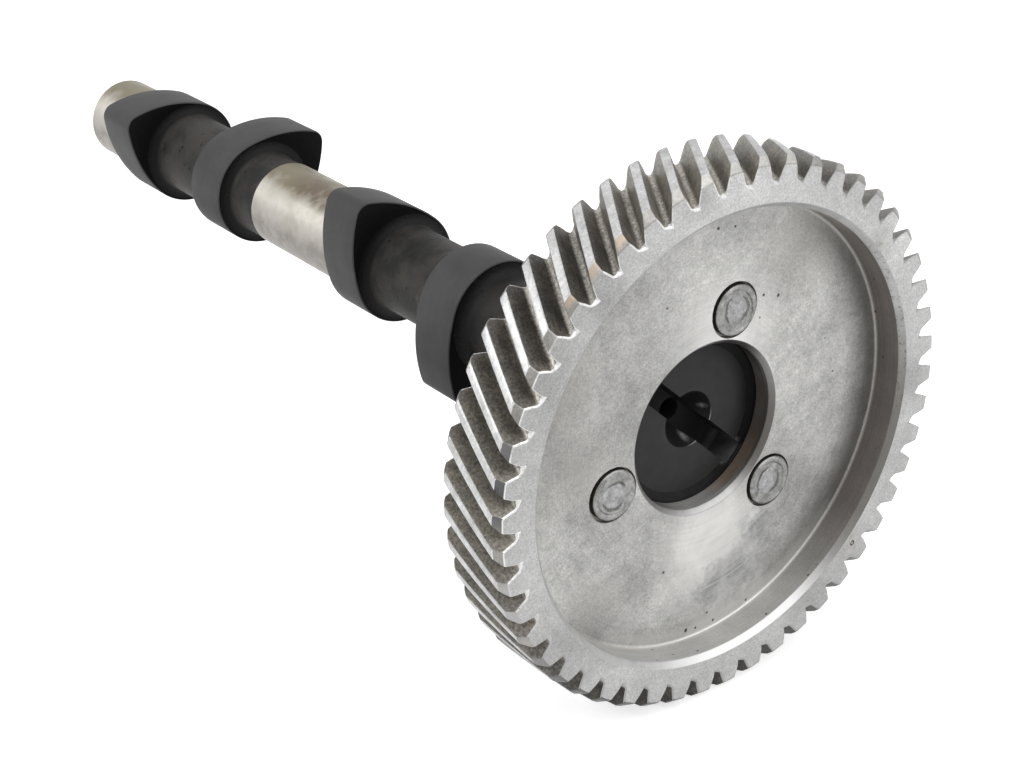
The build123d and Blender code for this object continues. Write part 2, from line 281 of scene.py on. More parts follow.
# --- Meshes from grids of points ---
class Shell:
    """Closed skin put together from grids of points whose edges meet."""

    def __init__(self):
        self.points, self.quads, self.finish, self.count = [], [], [], 0

    def grid(self, points, finish, closed=True, keep=None):
        """Quads between neighbours of a (rows, columns, 3) grid.

        The last column meets the first where the grid is closed. The finish is one number, or
        one for each column, and keep says for each column whether its quads are wanted."""
        rows, columns = points.shape[:2]
        index = np.arange(rows * columns).reshape(rows, columns) + self.count
        if closed:
            index = np.concatenate([index, index[:, :1]], axis=1)
        corners = [index[:-1, :-1], index[:-1, 1:], index[1:, 1:], index[1:, :-1]]
        quads = np.stack(corners, axis=-1)
        wanted = np.ones(quads.shape[1], bool) if keep is None else keep
        finish = np.broadcast_to(finish, quads.shape[:2])[:, wanted]
        self.points.append(points.reshape(-1, 3))
        self.quads.append(quads[:, wanted].reshape(-1, 4))
        self.finish.append(finish.ravel())
        self.count += rows * columns

    def finished(self, name, materials):
        """Object with doubles merged, normals facing out and its sharp corners kept."""
        mesh = bpy.data.meshes.new(name)
        mesh.from_pydata(np.concatenate(self.points), [], np.concatenate(self.quads))
        mesh.polygons.foreach_set("material_index", np.concatenate(self.finish).astype(np.int32))
        for material in materials:
            mesh.materials.append(material)
        work = bmesh.new()
        work.from_mesh(mesh)
        bmesh.ops.remove_doubles(work, verts=work.verts, dist=MERGE_DISTANCE)
        loose = [v for v in work.verts if not v.link_faces]
        bmesh.ops.delete(work, geom=loose, context="VERTS")
        bmesh.ops.recalc_face_normals(work, faces=work.faces)
        if any(len(e.link_faces) != 2 for e in work.edges):
            raise RuntimeError(f"{name} is not a closed skin")
        work.to_mesh(mesh)
        work.free()
        mesh.shade_smooth()
        mesh.set_sharp_from_angle(angle=SHARP_ANGLE)
        obj = bpy.data.objects.new(name, mesh)
        bpy.context.scene.collection.objects.link(obj)
        return obj


def about_axis(turns, radii, along):
    """Points at the given radii and angles about the shaft, and at the given places along it.

    x = r cos(angle), y = place along the shaft, z = r sin(angle)."""
    turns, radii, along = np.broadcast_arrays(turns, radii, along)
    return np.stack([radii * np.cos(turns), along, radii * np.sin(turns)], axis=-1)


def turned(shell, turns, corners, finish):
    """Surface turned about the shaft from (radius, place) corners; a radius may differ by column."""
    radii = np.stack([np.broadcast_to(r, turns.shape) for r, _ in corners])
    along = np.array([y for _, y in corners])[:, None]
    shell.grid(about_axis(turns[None, :], radii, along), finish)


LARGEST_CUT = 0.45
ROUND_STEPS = 3
ROUND_POINTS = ROUND_STEPS + 1


def rounded(corners, size, steps=ROUND_STEPS):
    """The same (radius, place) path with its inner corners cut back and rounded.

    A corner is cut back by the size, or by the largest share of its shorter side that leaves the
    next corner room. It becomes a quadratic curve: (1-t)^2 start + 2t(1-t) corner + t^2 end."""
    path = np.array(corners, float)
    before, after = path[:-2] - path[1:-1], path[2:] - path[1:-1]
    to_start, to_end = (np.linalg.norm(side, axis=1)[:, None] for side in (before, after))
    cut = np.minimum(size, LARGEST_CUT * np.minimum(to_start, to_end))
    start = path[1:-1] + before / to_start * cut
    end = path[1:-1] + after / to_end * cut
    t = np.linspace(0, 1, steps + 1)[None, :, None]
    curve = (1 - t)**2 * start[:, None] + 2 * t * (1 - t) * path[1:-1, None] + t**2 * end[:, None]
    return [tuple(path[0]), *map(tuple, curve.reshape(-1, 2)), tuple(path[-1])]


def angle_from(turns, centre):
    """Angles measured from a centre direction, between minus and plus half a turn."""
    return (turns - centre + math.pi) % FULL_TURN - math.pi


SECTOR_SPREAD = 1.25
SECTOR_ROWS = 5


def pierced_ring(shell, turns, rows, y, holes, hole_radius, finish):
    """Flat ring across the shaft with round holes; returns the rim of each hole.

    Each hole sits in a sector of its own. Points of the sector's rim are carried along straight
    lines to the hole's rim: p(t) = (1-t) hole point + t sector point."""
    half_width = (rows[-1] - rows[0]) / 2
    wanted, rims = np.ones(len(turns), bool), []
    for radius, angle in holes:
        offset = angle_from(turns, angle)
        columns = np.flatnonzero(np.abs(offset) <= SECTOR_SPREAD * math.asin(half_width / radius))
        columns = columns[np.argsort(offset[columns])]
        wanted[columns[:-1]] = False
        outer = about_axis(turns[columns], rows[-1], y)
        inner = about_axis(turns[columns], rows[0], y)
        first = about_axis(turns[columns[0]], rows, y)
        last = about_axis(turns[columns[-1]], rows, y)
        sector = np.concatenate([outer[:-1], last[:0:-1], inner[:0:-1], first[:-1]])
        centre = about_axis(angle, radius, y)
        away = sector - centre
        rim = centre + away / np.linalg.norm(away, axis=1)[:, None] * hole_radius
        t = np.linspace(0, 1, SECTOR_ROWS)[:, None, None]
        shell.grid(rim * (1 - t) + sector * t, finish)
        rims.append((centre, rim))
    shell.grid(about_axis(turns[None, :], rows[:, None], y), finish, keep=wanted)
    return rims


def hole_wall(shell, centre, rim, steps, finish):
    """Wall of a round hole from its rim on: each step is (share of the rim's radius, place)."""
    share = np.array([s for s, _ in steps])[:, None, None]
    points = centre + (rim - centre)[None] * share
    points[..., 1] = np.array([y for _, y in steps])[:, None]
    shell.grid(points, finish)


def rivet_places(rivets):
    """(radius, angle) of each rivet."""
    return [(rivets.circle, rivets.first + i * FULL_TURN / rivets.count) for i in range(rivets.count)]


def rivet_rows(rivets, inwards, outwards):
    """Radii of the rows of a ring round the rivets' circle, which their holes are cut in."""
    return np.linspace(rivets.circle - inwards * MM, rivets.circle + outwards * MM, 7)


# --- Camshaft ---
def lobe_radius(turns, lobes, nose_turn):
    """Distance from the shaft axis to the cam outline in each direction.

    The outline is a base circle, two flank arcs and a nose arc, all tangent. A ray in direction u
    meets an arc of centre c and radius R at c.u + sqrt(R^2 - |c|^2 + (c.u)^2)."""
    nose_centre = lobes.base_radius + lobes.lift - lobes.nose_radius
    to_base = lobes.flank_radius - lobes.base_radius
    to_nose = lobes.flank_radius - lobes.nose_radius
    flank_x = (to_base**2 - to_nose**2 + nose_centre**2) / (2 * nose_centre)
    flank_y = math.sqrt(to_base**2 - flank_x**2)
    base_turn = math.atan2(flank_y, -flank_x)
    tangent = math.atan2(flank_y, nose_centre - flank_x)
    nose_half = math.atan2(lobes.flank_radius * math.sin(tangent) - flank_y,
                           lobes.flank_radius * math.cos(tangent) + flank_x)
    offset = np.abs(angle_from(turns, nose_turn))

    def ray(centre_x, centre_y, radius):
        along = centre_x * np.cos(offset) + centre_y * np.sin(offset)
        return along + np.sqrt(np.maximum(radius**2 - centre_x**2 - centre_y**2 + along**2, 0))

    nose = ray(nose_centre, 0, lobes.nose_radius)
    flank = ray(flank_x, -flank_y, lobes.flank_radius)
    return np.where(offset < nose_half, nose, np.where(offset < base_turn, flank, lobes.base_radius))


def slot_radius(offset, drive):
    """Distance from the axis to the edge of the slot and centre mouth, by angle from the slot.

    The straight wall lies at half the width over sin(angle), and the slot's ends and the mouth of
    the lathe centre are circles about the axis."""
    straight = drive.slot_width / 2 / np.maximum(np.abs(np.sin(offset)), 1e-9)
    slot = np.minimum(straight, drive.slot_reach)
    return slot, np.maximum(slot, drive.centre_radius)


NARROWEST_COLUMN = math.radians(0.3)


def shaft_turns(drive):
    """Angles of the shaft's columns: even steps, and a column at each corner of the slot."""
    half = drive.slot_width / 2
    corners = np.arcsin(half / np.array([drive.slot_reach, drive.centre_radius]))
    quarter = np.concatenate([corners, -corners])
    slot = np.concatenate([quarter, quarter + math.pi]) + drive.slot_angle
    even = np.linspace(0, FULL_TURN, SHAFT_COLUMNS, endpoint=False)
    gap = np.abs(angle_from(even[:, None], slot[None, :])).min(axis=1)
    return np.sort(np.concatenate([even[gap > NARROWEST_COLUMN], slot % FULL_TURN]))


FACE_RIM = 0.12 * MM
FACE_ROWS = 15 * MM, 11 * MM, 8 * MM
LIP_CURVE = np.array([[0.0], [0.35], [1.0]])
SLOT_NARROWING = 0.99


def drive_end(shell, turns, drive):
    """Slotted and centred face of the boss, from its rim inwards to the foot of the centre."""
    rim_y = drive.seat_y - drive.boss_height
    face_y = rim_y + drive.face_depth
    floor_y = face_y + drive.slot_depth
    slope_end = drive.boss_radius - drive.rim_width
    cone = math.tan(drive.cone_half_angle)
    slot, opening = slot_radius(angle_from(turns, drive.slot_angle), drive)
    rows = np.array([slope_end, (slope_end + drive.face_radius) / 2, drive.face_radius + FACE_RIM,
                     drive.face_radius, drive.face_radius - FACE_RIM, *FACE_ROWS,
                     drive.centre_radius])[:, None]
    radii = np.maximum(rows, opening + SMALL_EDGE)

    def dish(radius):
        share = (radius - drive.face_radius) / (slope_end - drive.face_radius)
        return face_y + (rim_y - face_y) * np.clip(share, 0, 1)

    in_mouth = slot < drive.centre_radius
    lip = opening + LIP_CURVE[::-1] * SMALL_EDGE
    lip_y = dish(opening + SMALL_EDGE) + LIP_CURVE * SMALL_EDGE
    shell.grid(about_axis(turns, radii[:4], dish(radii[:4])), DARK_RECESS)
    shell.grid(about_axis(turns, radii[3:], dish(radii[3:])), DRIVE_FACE)
    shell.grid(about_axis(turns, np.vstack([radii[-1:], lip]), np.vstack([dish(radii[-1:]), lip_y])),
               DRIVE_FACE)
    share = np.linspace(0, 1, 4)[:, None]
    cone_radius = np.where(in_mouth, opening + (slot - opening) * share, opening)
    slope_y = face_y + SMALL_EDGE + (drive.centre_radius - cone_radius) / cone
    cone_y = np.where(in_mouth, slope_y, lip_y[-1])
    shell.grid(about_axis(turns, cone_radius, cone_y), CENTRE_CONE)
    wall_y = cone_y[-1] + (floor_y - cone_y[-1]) * share
    shell.grid(about_axis(turns, slot, wall_y), DARK_RECESS)
    hole = SLOT_NARROWING * drive.slot_width / 2
    floor_radius = slot + (hole - slot) * share
    shell.grid(about_axis(turns, floor_radius, floor_y), DARK_RECESS)
    foot_y = floor_y + (hole - drive.pilot_radius) / cone
    pilot_y = foot_y + drive.pilot_length
    turned(shell, turns, [(hole, floor_y), (drive.pilot_radius, foot_y), (drive.pilot_radius, pilot_y),
                          (0, pilot_y)], DARK_RECESS)


def flange(shell, turns, drive, rivets, shaft):
    """Boss rim and the flange, holed for the rivets, down to the thrust journal."""
    rim_y = drive.seat_y - drive.boss_height
    back_y = drive.seat_y + drive.flange_thickness
    boss = drive.boss_radius
    turned(shell, turns, rounded([(boss - drive.rim_width, rim_y), (boss, rim_y), (boss, drive.seat_y)],
                                 0.1 * MM), DARK_RECESS)
    rows = rivet_rows(rivets, 6.5, 6.1)
    hole = rivets.shank_radius + rivets.clearance
    tail = rivets.tail_radius + rivets.clearance
    turned(shell, turns, [(boss, drive.seat_y), (rows[0], drive.seat_y)], CAST_SKIN)
    front = pierced_ring(shell, turns, rows, drive.seat_y, rivet_places(rivets), hole, CAST_SKIN)
    edge = drive.flange_edge
    turned(shell, turns, rounded([
        (rows[-1], drive.seat_y), (drive.flange_radius - edge, drive.seat_y),
        (drive.flange_radius, drive.seat_y + edge), (drive.flange_radius, back_y - edge),
        (drive.flange_radius - edge, back_y), (rows[-1], back_y)], 0.2 * MM), CAST_SKIN)
    pierced_ring(shell, turns, rows, back_y, rivet_places(rivets), tail, CAST_SKIN)
    for centre, rim in front:
        hole_wall(shell, centre, rim, [(1, drive.seat_y), (1, back_y - rivets.tail_depth),
                                       (tail / hole, back_y)], CAST_SKIN)
    radius, foot = shaft.journal_radius, shaft.foot_radius
    turned(shell, turns, rounded([
        (rows[0], back_y), (radius + foot, back_y), (radius, back_y + foot),
        (radius, back_y + shaft.thrust_start)], 0.8 * MM), CAST_SKIN)


RIPPLE_FADE = 2 * MM
SHOULDER_SLOPE = 1.3


def neck(shell, turns, shaft, start, end, flare_start, shoulder):
    """Cast neck with quarter-round flares, its radius wandering a little as castings do.

    Radius = neck radius + flare + ripple, where a flare falls from the fillet radius to nothing as
    R - sqrt(R^2 - (R - d)^2) at a distance d from its face, and the ripple is a sum of sines. A
    rough shoulder of a given height may follow the first flare."""
    size = shaft.neck_fillet
    quarter = size * (1 - np.cos(np.linspace(0, math.pi / 2, 7)))
    middle = np.linspace(start + size, end - size, 20)[1:-1]
    foot = start + quarter if flare_start else [start]
    along = np.concatenate([foot, middle, end - quarter[::-1]])[:, None]

    def flare(distance):
        left = np.clip(size - distance, 0, size)
        return size - np.sqrt(size**2 - left**2)

    radii = shaft.neck_radius + (flare(along - start) if flare_start else 0) + flare(end - along)
    mm = along / MM
    ripple = (np.sin(2 * turns + 0.21 * mm) + 0.6 * np.sin(5 * turns - 0.35 * mm + 1.3)
              + 0.5 * np.sin(9 * turns + 0.8 * mm) + 0.4 * np.sin(0.9 * mm + 3 * np.sin(turns))) / 2.5
    fade = np.clip((along - start) / RIPPLE_FADE, 0, 1) * np.clip((end - along) / RIPPLE_FADE, 0, 1)
    radii = radii - shaft.cast_ripple * (0.5 + 0.5 * ripple) * fade
    ragged = 5.6 + 0.5 * np.sin(3 * turns + 1) + 0.4 * np.sin(7 * turns) + 0.25 * np.sin(17 * turns + 2)
    step = np.clip((ragged - (along - start) / MM) / SHOULDER_SLOPE, 0, 1)
    radii = np.maximum(radii, shaft.neck_radius + shoulder * step * (0.85 + 0.15 * ripple))
    shell.grid(about_axis(turns[None, :], radii, along), CAST_SKIN)


def lobe(shell, turns, lobes, start, width, nose_turn, inner_start, inner_end):
    """Cam lobe: two flat sides and a running face with rounded rims."""
    outline = lobe_radius(turns, lobes, nose_turn)
    end = start + width
    arc = np.linspace(0, math.pi / 2, 5)
    share = np.linspace(0, 1, 3)[:, None]
    foot = outline - lobes.edge
    for inner, y in ((inner_start, start), (inner_end, end)):
        inner = np.broadcast_to(inner, turns.shape)
        shell.grid(about_axis(turns[None, :], inner + (foot - inner) * share, y), LOBE_SIDE)
    rims = [(outline - lobes.edge * (1 - math.sin(a)), lobes.edge * (1 - math.cos(a))) for a in arc]
    turned(shell, turns, [(r, start + d) for r, d in rims], LOBE_FACE)
    turned(shell, turns, [(r, end - d) for r, d in rims], LOBE_FACE)
    middle = np.linspace(start + lobes.edge, end - lobes.edge, 4)
    turned(shell, turns, [(outline, y) for y in middle], LOBE_FACE)


def journal(shell, turns, radius, start, end):
    """Ground journal between two places."""
    turned(shell, turns, [(radius, y) for y in np.linspace(start, end, 4)], JOURNAL)


def far_end(shell, turns, shaft, drive):
    """Chamfer, end face and lathe centre at the far end."""
    edge = shaft.journal_edge
    radius = shaft.journal_radius
    mouth = drive.far_centre_radius
    pilot = drive.far_pilot_radius
    cone_y = SHAFT_END - (mouth - pilot) / math.tan(drive.cone_half_angle)
    pilot_y = cone_y - drive.far_pilot_length
    turned(shell, turns, rounded([
        (radius, SHAFT_END - edge - shaft.end_margin), (radius, SHAFT_END - edge),
        (radius - edge, SHAFT_END), (mouth, SHAFT_END), (pilot, cone_y), (pilot, pilot_y),
        (0, pilot_y)], SMALL_EDGE), JOURNAL)


DRIVE_FACE, CAST_SKIN, LOBE_SIDE, LOBE_FACE, JOURNAL, CENTRE_CONE, DARK_RECESS = range(7)


class BuildShaft(bpy.types.Operator):
    """Camshaft casting with its flange, journals, necks and lobes"""
    bl_idname = "camshaft.build_shaft"
    bl_label = "Build camshaft"

    def execute(self, context):
        scene = context.scene
        shaft, lobes, drive, rivets = (scene.shaft_sizes, scene.lobe_sizes, scene.drive_end_sizes,
                                       scene.rivet_sizes)
        turns = shaft_turns(drive)
        radius = shaft.journal_radius
        shell = Shell()
        drive_end(shell, turns, drive)
        flange(shell, turns, drive, rivets, shaft)
        y = drive.seat_y + drive.flange_thickness
        collar_y = y + shaft.thrust_length
        journal(shell, turns, radius, y + shaft.thrust_start, collar_y)
        y = collar_y + shaft.collar_width
        flare = shaft.neck_radius + shaft.neck_fillet
        turned(shell, turns, rounded([(radius, collar_y), (shaft.collar_radius, collar_y),
                                      (shaft.collar_radius, y), (flare, y)], 0.3 * MM), CAST_SKIN)
        front, rear, half = lobes.front_angle, lobes.rear_angle, lobes.half_separation
        steps = ((shaft.gear_end_neck, True, 0.0, lobes.front_width, front + half, flare),
                 (shaft.front_neck, True, shaft.cast_shoulder, lobes.front_width, front - half, radius),
                 (shaft.centre_neck, False, 0.0, lobes.rear_width, rear - half, flare),
                 (shaft.rear_neck, True, 0.0, lobes.rear_width, rear + half, radius))
        for neck_length, flare_start, shoulder, width, nose_turn, behind in steps:
            if not flare_start:
                journal(shell, turns, radius, y, y + shaft.centre_length)
                y += shaft.centre_length
                turned(shell, turns, [(radius, y), (shaft.neck_radius, y)], CAST_SKIN)
            neck(shell, turns, shaft, y, y + neck_length, flare_start, shoulder)
            y += neck_length
            lobe(shell, turns, lobes, y, width, nose_turn, flare, behind)
            y += width
        journal(shell, turns, radius, y, SHAFT_END - shaft.journal_edge - shaft.end_margin)
        far_end(shell, turns, shaft, drive)
        casting = shell.finished("camshaft_casting", shaft_materials(scene.finishes))
        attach(casting, "root")
        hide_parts("camshaft")
        return {"FINISHED"}


# --- Timing gear ---
GEAR_FACE, GEAR_WALL, TOOTH_FLANK, TOOTH_LAND, TIP_CHAMFER, TOOTH_EDGE, BORE_WALL, CHAMFER = range(8)
EDGE_STEPS = 3
CHAMFER_STEPS = 4
THINNING = 2
FRONT_BOW, BACK_BOW = 1.0, 1.8
SHARP_SIDE = [0.33, 0.39, 0.43, 0.48, 0.56], [0, 0.5, 1, 0.6, 0]
MARK_MARGIN = 1.4 * MM
CORNER_SPAN = 3 * MM


def gap_half_angle(radius, gear):
    """Half the angle of a tooth gap at a radius, between involute flanks: inv(a) = tan(a) - a."""
    base = gear.pitch_radius * math.cos(gear.pressure_angle)
    at_radius = np.arccos(base / radius)
    at_pitch = gear.pressure_angle
    return (math.pi / (2 * gear.teeth) + (np.tan(at_radius) - at_radius)
            - (math.tan(at_pitch) - at_pitch))


def tooth_line(gear, tip_radius, inset):
    """Angles and radii of one pitch of the gear's outline, about the middle of a gap.

    Gap floor, a round corner, the involute flank, a round tip edge and half the tip land, then the
    same mirrored. The inset moves the outline into the metal."""
    root = gear.pitch_radius - gear.dedendum - inset
    slope = (gap_half_angle(root + MM, gear) * (root + MM) - gap_half_angle(root, gear) * root) / MM
    tilt = math.atan(slope)
    corner = gap_half_angle(root, gear) * root + inset
    cut = gear.root_fillet / math.tan((math.pi / 2 + tilt) / 2)
    arc = np.linspace(0, math.pi / 2 - tilt, 5)
    fillet_x = corner - cut + gear.root_fillet * np.sin(arc)
    fillet_r = root + gear.root_fillet * (1 - np.cos(arc))
    tip = tip_radius - inset
    flank_r = np.linspace(fillet_r[-1], tip - gear.tip_edge, 4)[1:]
    flank = gap_half_angle(flank_r, gear) + inset / flank_r
    turn_in = np.linspace(0, math.pi / 2, EDGE_STEPS + 1)[1:]
    edge = flank[-1] + gear.tip_edge * (1 - np.cos(turn_in)) / tip
    edge_r = tip - gear.tip_edge * (1 - np.sin(turn_in))
    middle = math.pi / gear.teeth
    angles = np.concatenate([[0], fillet_x / fillet_r, flank, edge, [(edge[-1] + middle) / 2, middle]])
    radii = np.concatenate([[root], fillet_r, flank_r, edge_r, [tip, tip]])
    return np.concatenate([-angles[:0:-1], angles[:-1]]), np.concatenate([radii[:0:-1], radii[:-1]])


def gap_rows(gear, sharp, bow):
    """Angles, radii and depths of one pitch from an end face to mid-width, before the helix turns it.

    Each row is the tooth line at one depth. In the first rows a quarter round carries the line that
    is set into the metal over to the plain one; sharp says how much wider that is at each column.
    The tips are cut back by (1 - depth / size)^bow, a straight chamfer where the bow is one."""
    quarter = np.linspace(0, math.pi / 2, EDGE_STEPS + 1)
    depth = np.concatenate([gear.burr * (1 - np.cos(quarter)),
                            np.linspace(gear.burr, gear.tip_chamfer_axial, CHAMFER_STEPS + 1)[1:],
                            np.linspace(gear.tip_chamfer_axial, gear.width / 2, 6)[1:]])
    cut = gear.tip_chamfer_radial * np.clip(1 - depth / gear.tip_chamfer_axial, 0, 1)**bow
    tip = gear.pitch_radius + gear.addendum - cut
    lines = np.array([tooth_line(gear, t, 0) for t in tip])
    broken = np.array([tooth_line(gear, t, gear.burr) for t in tip[:EDGE_STEPS + 1]])
    share = (1 - np.sin(quarter))[:, None, None] * sharp
    lines[:EDGE_STEPS + 1] += share * (broken - lines[:EDGE_STEPS + 1])
    depth = np.repeat(depth[:, None], len(sharp), axis=1)
    depth[:EDGE_STEPS + 1] *= sharp
    return lines[:, 0], lines[:, 1], depth


def toothed_rim(shell, gear):
    """Teeth from the front face to the back face; returns both outlines.

    The gaps turn with the helix: angle falls by tan(helix angle) / pitch radius for each metre. On
    the side of a gap where its flank meets the end face at a sharp angle, more is broken off. The
    tips are chamfered straight in front and bowed behind."""
    columns = len(tooth_line(gear, gear.pitch_radius + gear.addendum, 0)[0])
    place = np.arange(columns)
    sharp = 1 + (gear.acute_break - 1) * np.interp(place / columns, *SHARP_SIDE)
    front, back = gap_rows(gear, sharp, FRONT_BOW), gap_rows(gear, sharp[::-1], BACK_BOW)
    turns, radii, depth = (np.concatenate([f, b[-2::-1]]) for f, b in zip(front, back))
    behind = len(front[0])
    depth[behind:] = gear.width - depth[behind:]
    turns = turns - math.tan(gear.helix_angle) / gear.pitch_radius * depth
    gaps = gear.first_gap + np.arange(gear.teeth)[:, None] * FULL_TURN / gear.teeth
    turns = (turns[:, None, :] + gaps).reshape(len(turns), -1)
    radii, depth = np.tile(radii, (1, gear.teeth)), np.tile(depth, (1, gear.teeth))

    land = (place <= EDGE_STEPS) | (place >= columns - EDGE_STEPS - 1)
    finish = np.where(land, TOOTH_LAND, TOOTH_FLANK)[None, :].repeat(len(turns) - 1, axis=0)
    for end in (finish, finish[::-1]):
        end[:EDGE_STEPS + CHAMFER_STEPS, land] = TIP_CHAMFER
        end[:EDGE_STEPS, ~land] = TOOTH_EDGE
    shell.grid(about_axis(turns, radii, gear.front_y + depth), np.tile(finish, (1, gear.teeth)))
    return (turns[0], radii[0]), (turns[-1], radii[-1])


def thinned(shell, outline, radius, y, finish):
    """Flat ring from the toothed outline to a circle that has fewer columns; returns their angles.

    Neighbouring columns meet in one point of the circle, so their quads close to triangles."""
    turns, radii = outline
    first = np.arange(len(turns)) // THINNING * THINNING
    points = np.stack([about_axis(turns, radii, y), about_axis(turns[first], radius, y)])
    shell.grid(points, finish)
    return turns[::THINNING]


def gear_front(shell, gear, rivets, outline):
    """Front face, recess, web and bore down to the gear seat; returns the columns' angles."""
    front_y, web_y = gear.front_y, gear.front_y + gear.recess_depth
    seat_y = web_y + gear.web_thickness
    ring = gear.pitch_radius - gear.dedendum - gear.root_land
    turns = thinned(shell, outline, ring, front_y, GEAR_FACE)
    mark_rows = np.linspace(gear.mark_circle - MARK_MARGIN, ring, 4)
    mark_place = [(gear.mark_circle, gear.mark_angle)]
    (mark_centre, mark_rim), = pierced_ring(shell, turns, mark_rows, front_y, mark_place,
                                            gear.mark_size, GEAR_FACE)
    bottom = front_y + 0.35 * gear.mark_size
    hole_wall(shell, mark_centre, mark_rim, [(1, front_y), (0.85, bottom), (0.6, bottom)], BORE_WALL)
    hole_wall(shell, mark_centre, mark_rim,
              [(0.6, bottom), (0.4, front_y), (0.2, front_y), (0, front_y)], TOOTH_EDGE)
    mouth = gear.recess_radius + gear.mouth_radial
    rows = rivet_rows(rivets, 7.1, 7.3)
    path = rounded([(mark_rows[0], front_y), (mouth, front_y),
                    (gear.recess_radius, front_y + gear.mouth_axial),
                    (gear.recess_radius, web_y)], 0.12 * MM)[:-1]
    corner = rounded([(gear.recess_radius, web_y - 2 * MM), (gear.recess_radius, web_y),
                      (gear.recess_radius - CORNER_SPAN, web_y)], gear.recess_fillet, steps=5)
    face_end, chamfer_end = ROUND_POINTS - 1, 2 * ROUND_POINTS
    turned(shell, turns, path[:face_end + 1], GEAR_FACE)
    turned(shell, turns, path[face_end:chamfer_end + 1], CHAMFER)
    turned(shell, turns, path[chamfer_end:] + corner[:4], GEAR_WALL)
    floor = np.linspace(gear.recess_radius - CORNER_SPAN, rows[-1], 4)[1:]
    turned(shell, turns, corner[3:] + [(r, web_y) for r in floor], GEAR_FACE)
    seats = pierced_ring(shell, turns, rows, web_y, rivet_places(rivets), rivets.seat_radius, GEAR_FACE)
    bore, chamfer_y = gear.bore_radius, web_y + gear.bore_chamfer_axial
    turned(shell, turns, rounded([
        (rows[0], web_y), (bore + gear.bore_chamfer_radial, web_y), (bore, chamfer_y),
        (bore, chamfer_y + MM)], SMALL_EDGE), CHAMFER)
    turned(shell, turns, [(bore, chamfer_y + MM), (bore, seat_y)], BORE_WALL)
    return turns, rows, seats


def gear_back(shell, gear, rivets, turns, rows, seats, outline):
    """Web's back with the rivet holes, back recess and back face out to the teeth."""
    web_y = gear.front_y + gear.recess_depth
    seat_y = web_y + gear.web_thickness
    back_y = gear.front_y + gear.width
    hole = rivets.shank_radius + rivets.clearance
    floor_y = web_y + rivets.seat_depth
    turned(shell, turns, [(gear.bore_radius, seat_y), (rows[0], seat_y)], GEAR_FACE)
    pierced_ring(shell, turns, rows, seat_y, rivet_places(rivets), hole, GEAR_FACE)
    share = hole / rivets.seat_radius
    for centre, rim in seats:
        hole_wall(shell, centre, rim, [(1, web_y), (1, floor_y), (share, floor_y), (share, seat_y)],
                  GEAR_WALL)
    ring = gear.pitch_radius - gear.dedendum - gear.root_land
    back_turns = thinned(shell, outline, ring, back_y, GEAR_FACE)
    shift = (back_turns - turns)[None, :] * np.linspace(0, 1, 6)[:, None]
    floor = np.linspace(rows[-1], gear.recess_radius, 6)[:, None]
    shell.grid(about_axis(turns + shift, floor, seat_y), GEAR_FACE)
    turned(shell, back_turns, rounded([(gear.recess_radius, seat_y), (gear.recess_radius, back_y),
                                       (ring, back_y)], 0.3 * MM), GEAR_FACE)


class BuildGear(bpy.types.Operator):
    """Helical timing gear, recessed on both sides of its web"""
    bl_idname = "camshaft.build_gear"
    bl_label = "Build timing gear"

    def execute(self, context):
        gear, rivets = context.scene.gear_sizes, context.scene.rivet_sizes
        shell = Shell()
        front, back = toothed_rim(shell, gear)
        turns, rows, seats = gear_front(shell, gear, rivets, front)
        gear_back(shell, gear, rivets, turns, rows, seats, back)
        wheel = shell.finished("helical_gear", gear_materials(context.scene.finishes))
        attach(wheel, "root")
        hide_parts("timing_gear")
        return {"FINISHED"}


# --- Rivets ---
RIVET_FACE, RIVET_MIDDLE, RIVET_RING, RIVET_SIDE = range(4)


def struck_face(radii, turns, rivets, seed):
    """How far the struck head's face lies below its top, and its finish at each point.

    A ring groove exp(-((r - ring) / width)^2) that wanders and fades round the head, a fainter one
    near its rim, and shallow dents from a sum of sines."""
    mm = radii / MM
    wander = rivets.ring_radius / MM + 0.25 * np.sin(turns + seed) + 0.12 * np.sin(3 * turns + 2 * seed)
    groove = np.exp(-((mm - wander) / (0.55 * rivets.ring_width / MM))**2)
    strength = 0.66 + 0.34 * np.sin(2 * turns + 1.7 * seed)
    outer = np.exp(-((mm - 4.75 - 0.2 * np.sin(2 * turns + 3 * seed)) / 0.28)**2)
    outer = outer * (0.5 + 0.5 * np.sin(turns + 1.3 * seed))
    x, z = mm * np.cos(turns), mm * np.sin(turns)
    dents = (np.sin(1.3 * x + seed) * np.sin(1.1 * z + 2 * seed)
             + 0.6 * np.sin(2.4 * z - 0.8 * x + seed) + 0.3 * np.sin(3.3 * x + 1.9 * z + 3 * seed))
    calm = np.clip((mm - 1.0) / 2.2, 0.15, 1) * np.clip((5.4 - mm) / 0.8, 0, 1)
    depth = rivets.ring_depth * (groove * strength + 0.6 * outer) + 0.11 * MM * (dents + 1.9) * calm
    finish = np.where(mm < wander, RIVET_MIDDLE, RIVET_FACE)
    return depth, np.where(groove * strength + 0.6 * outer > 0.5, RIVET_RING, finish)


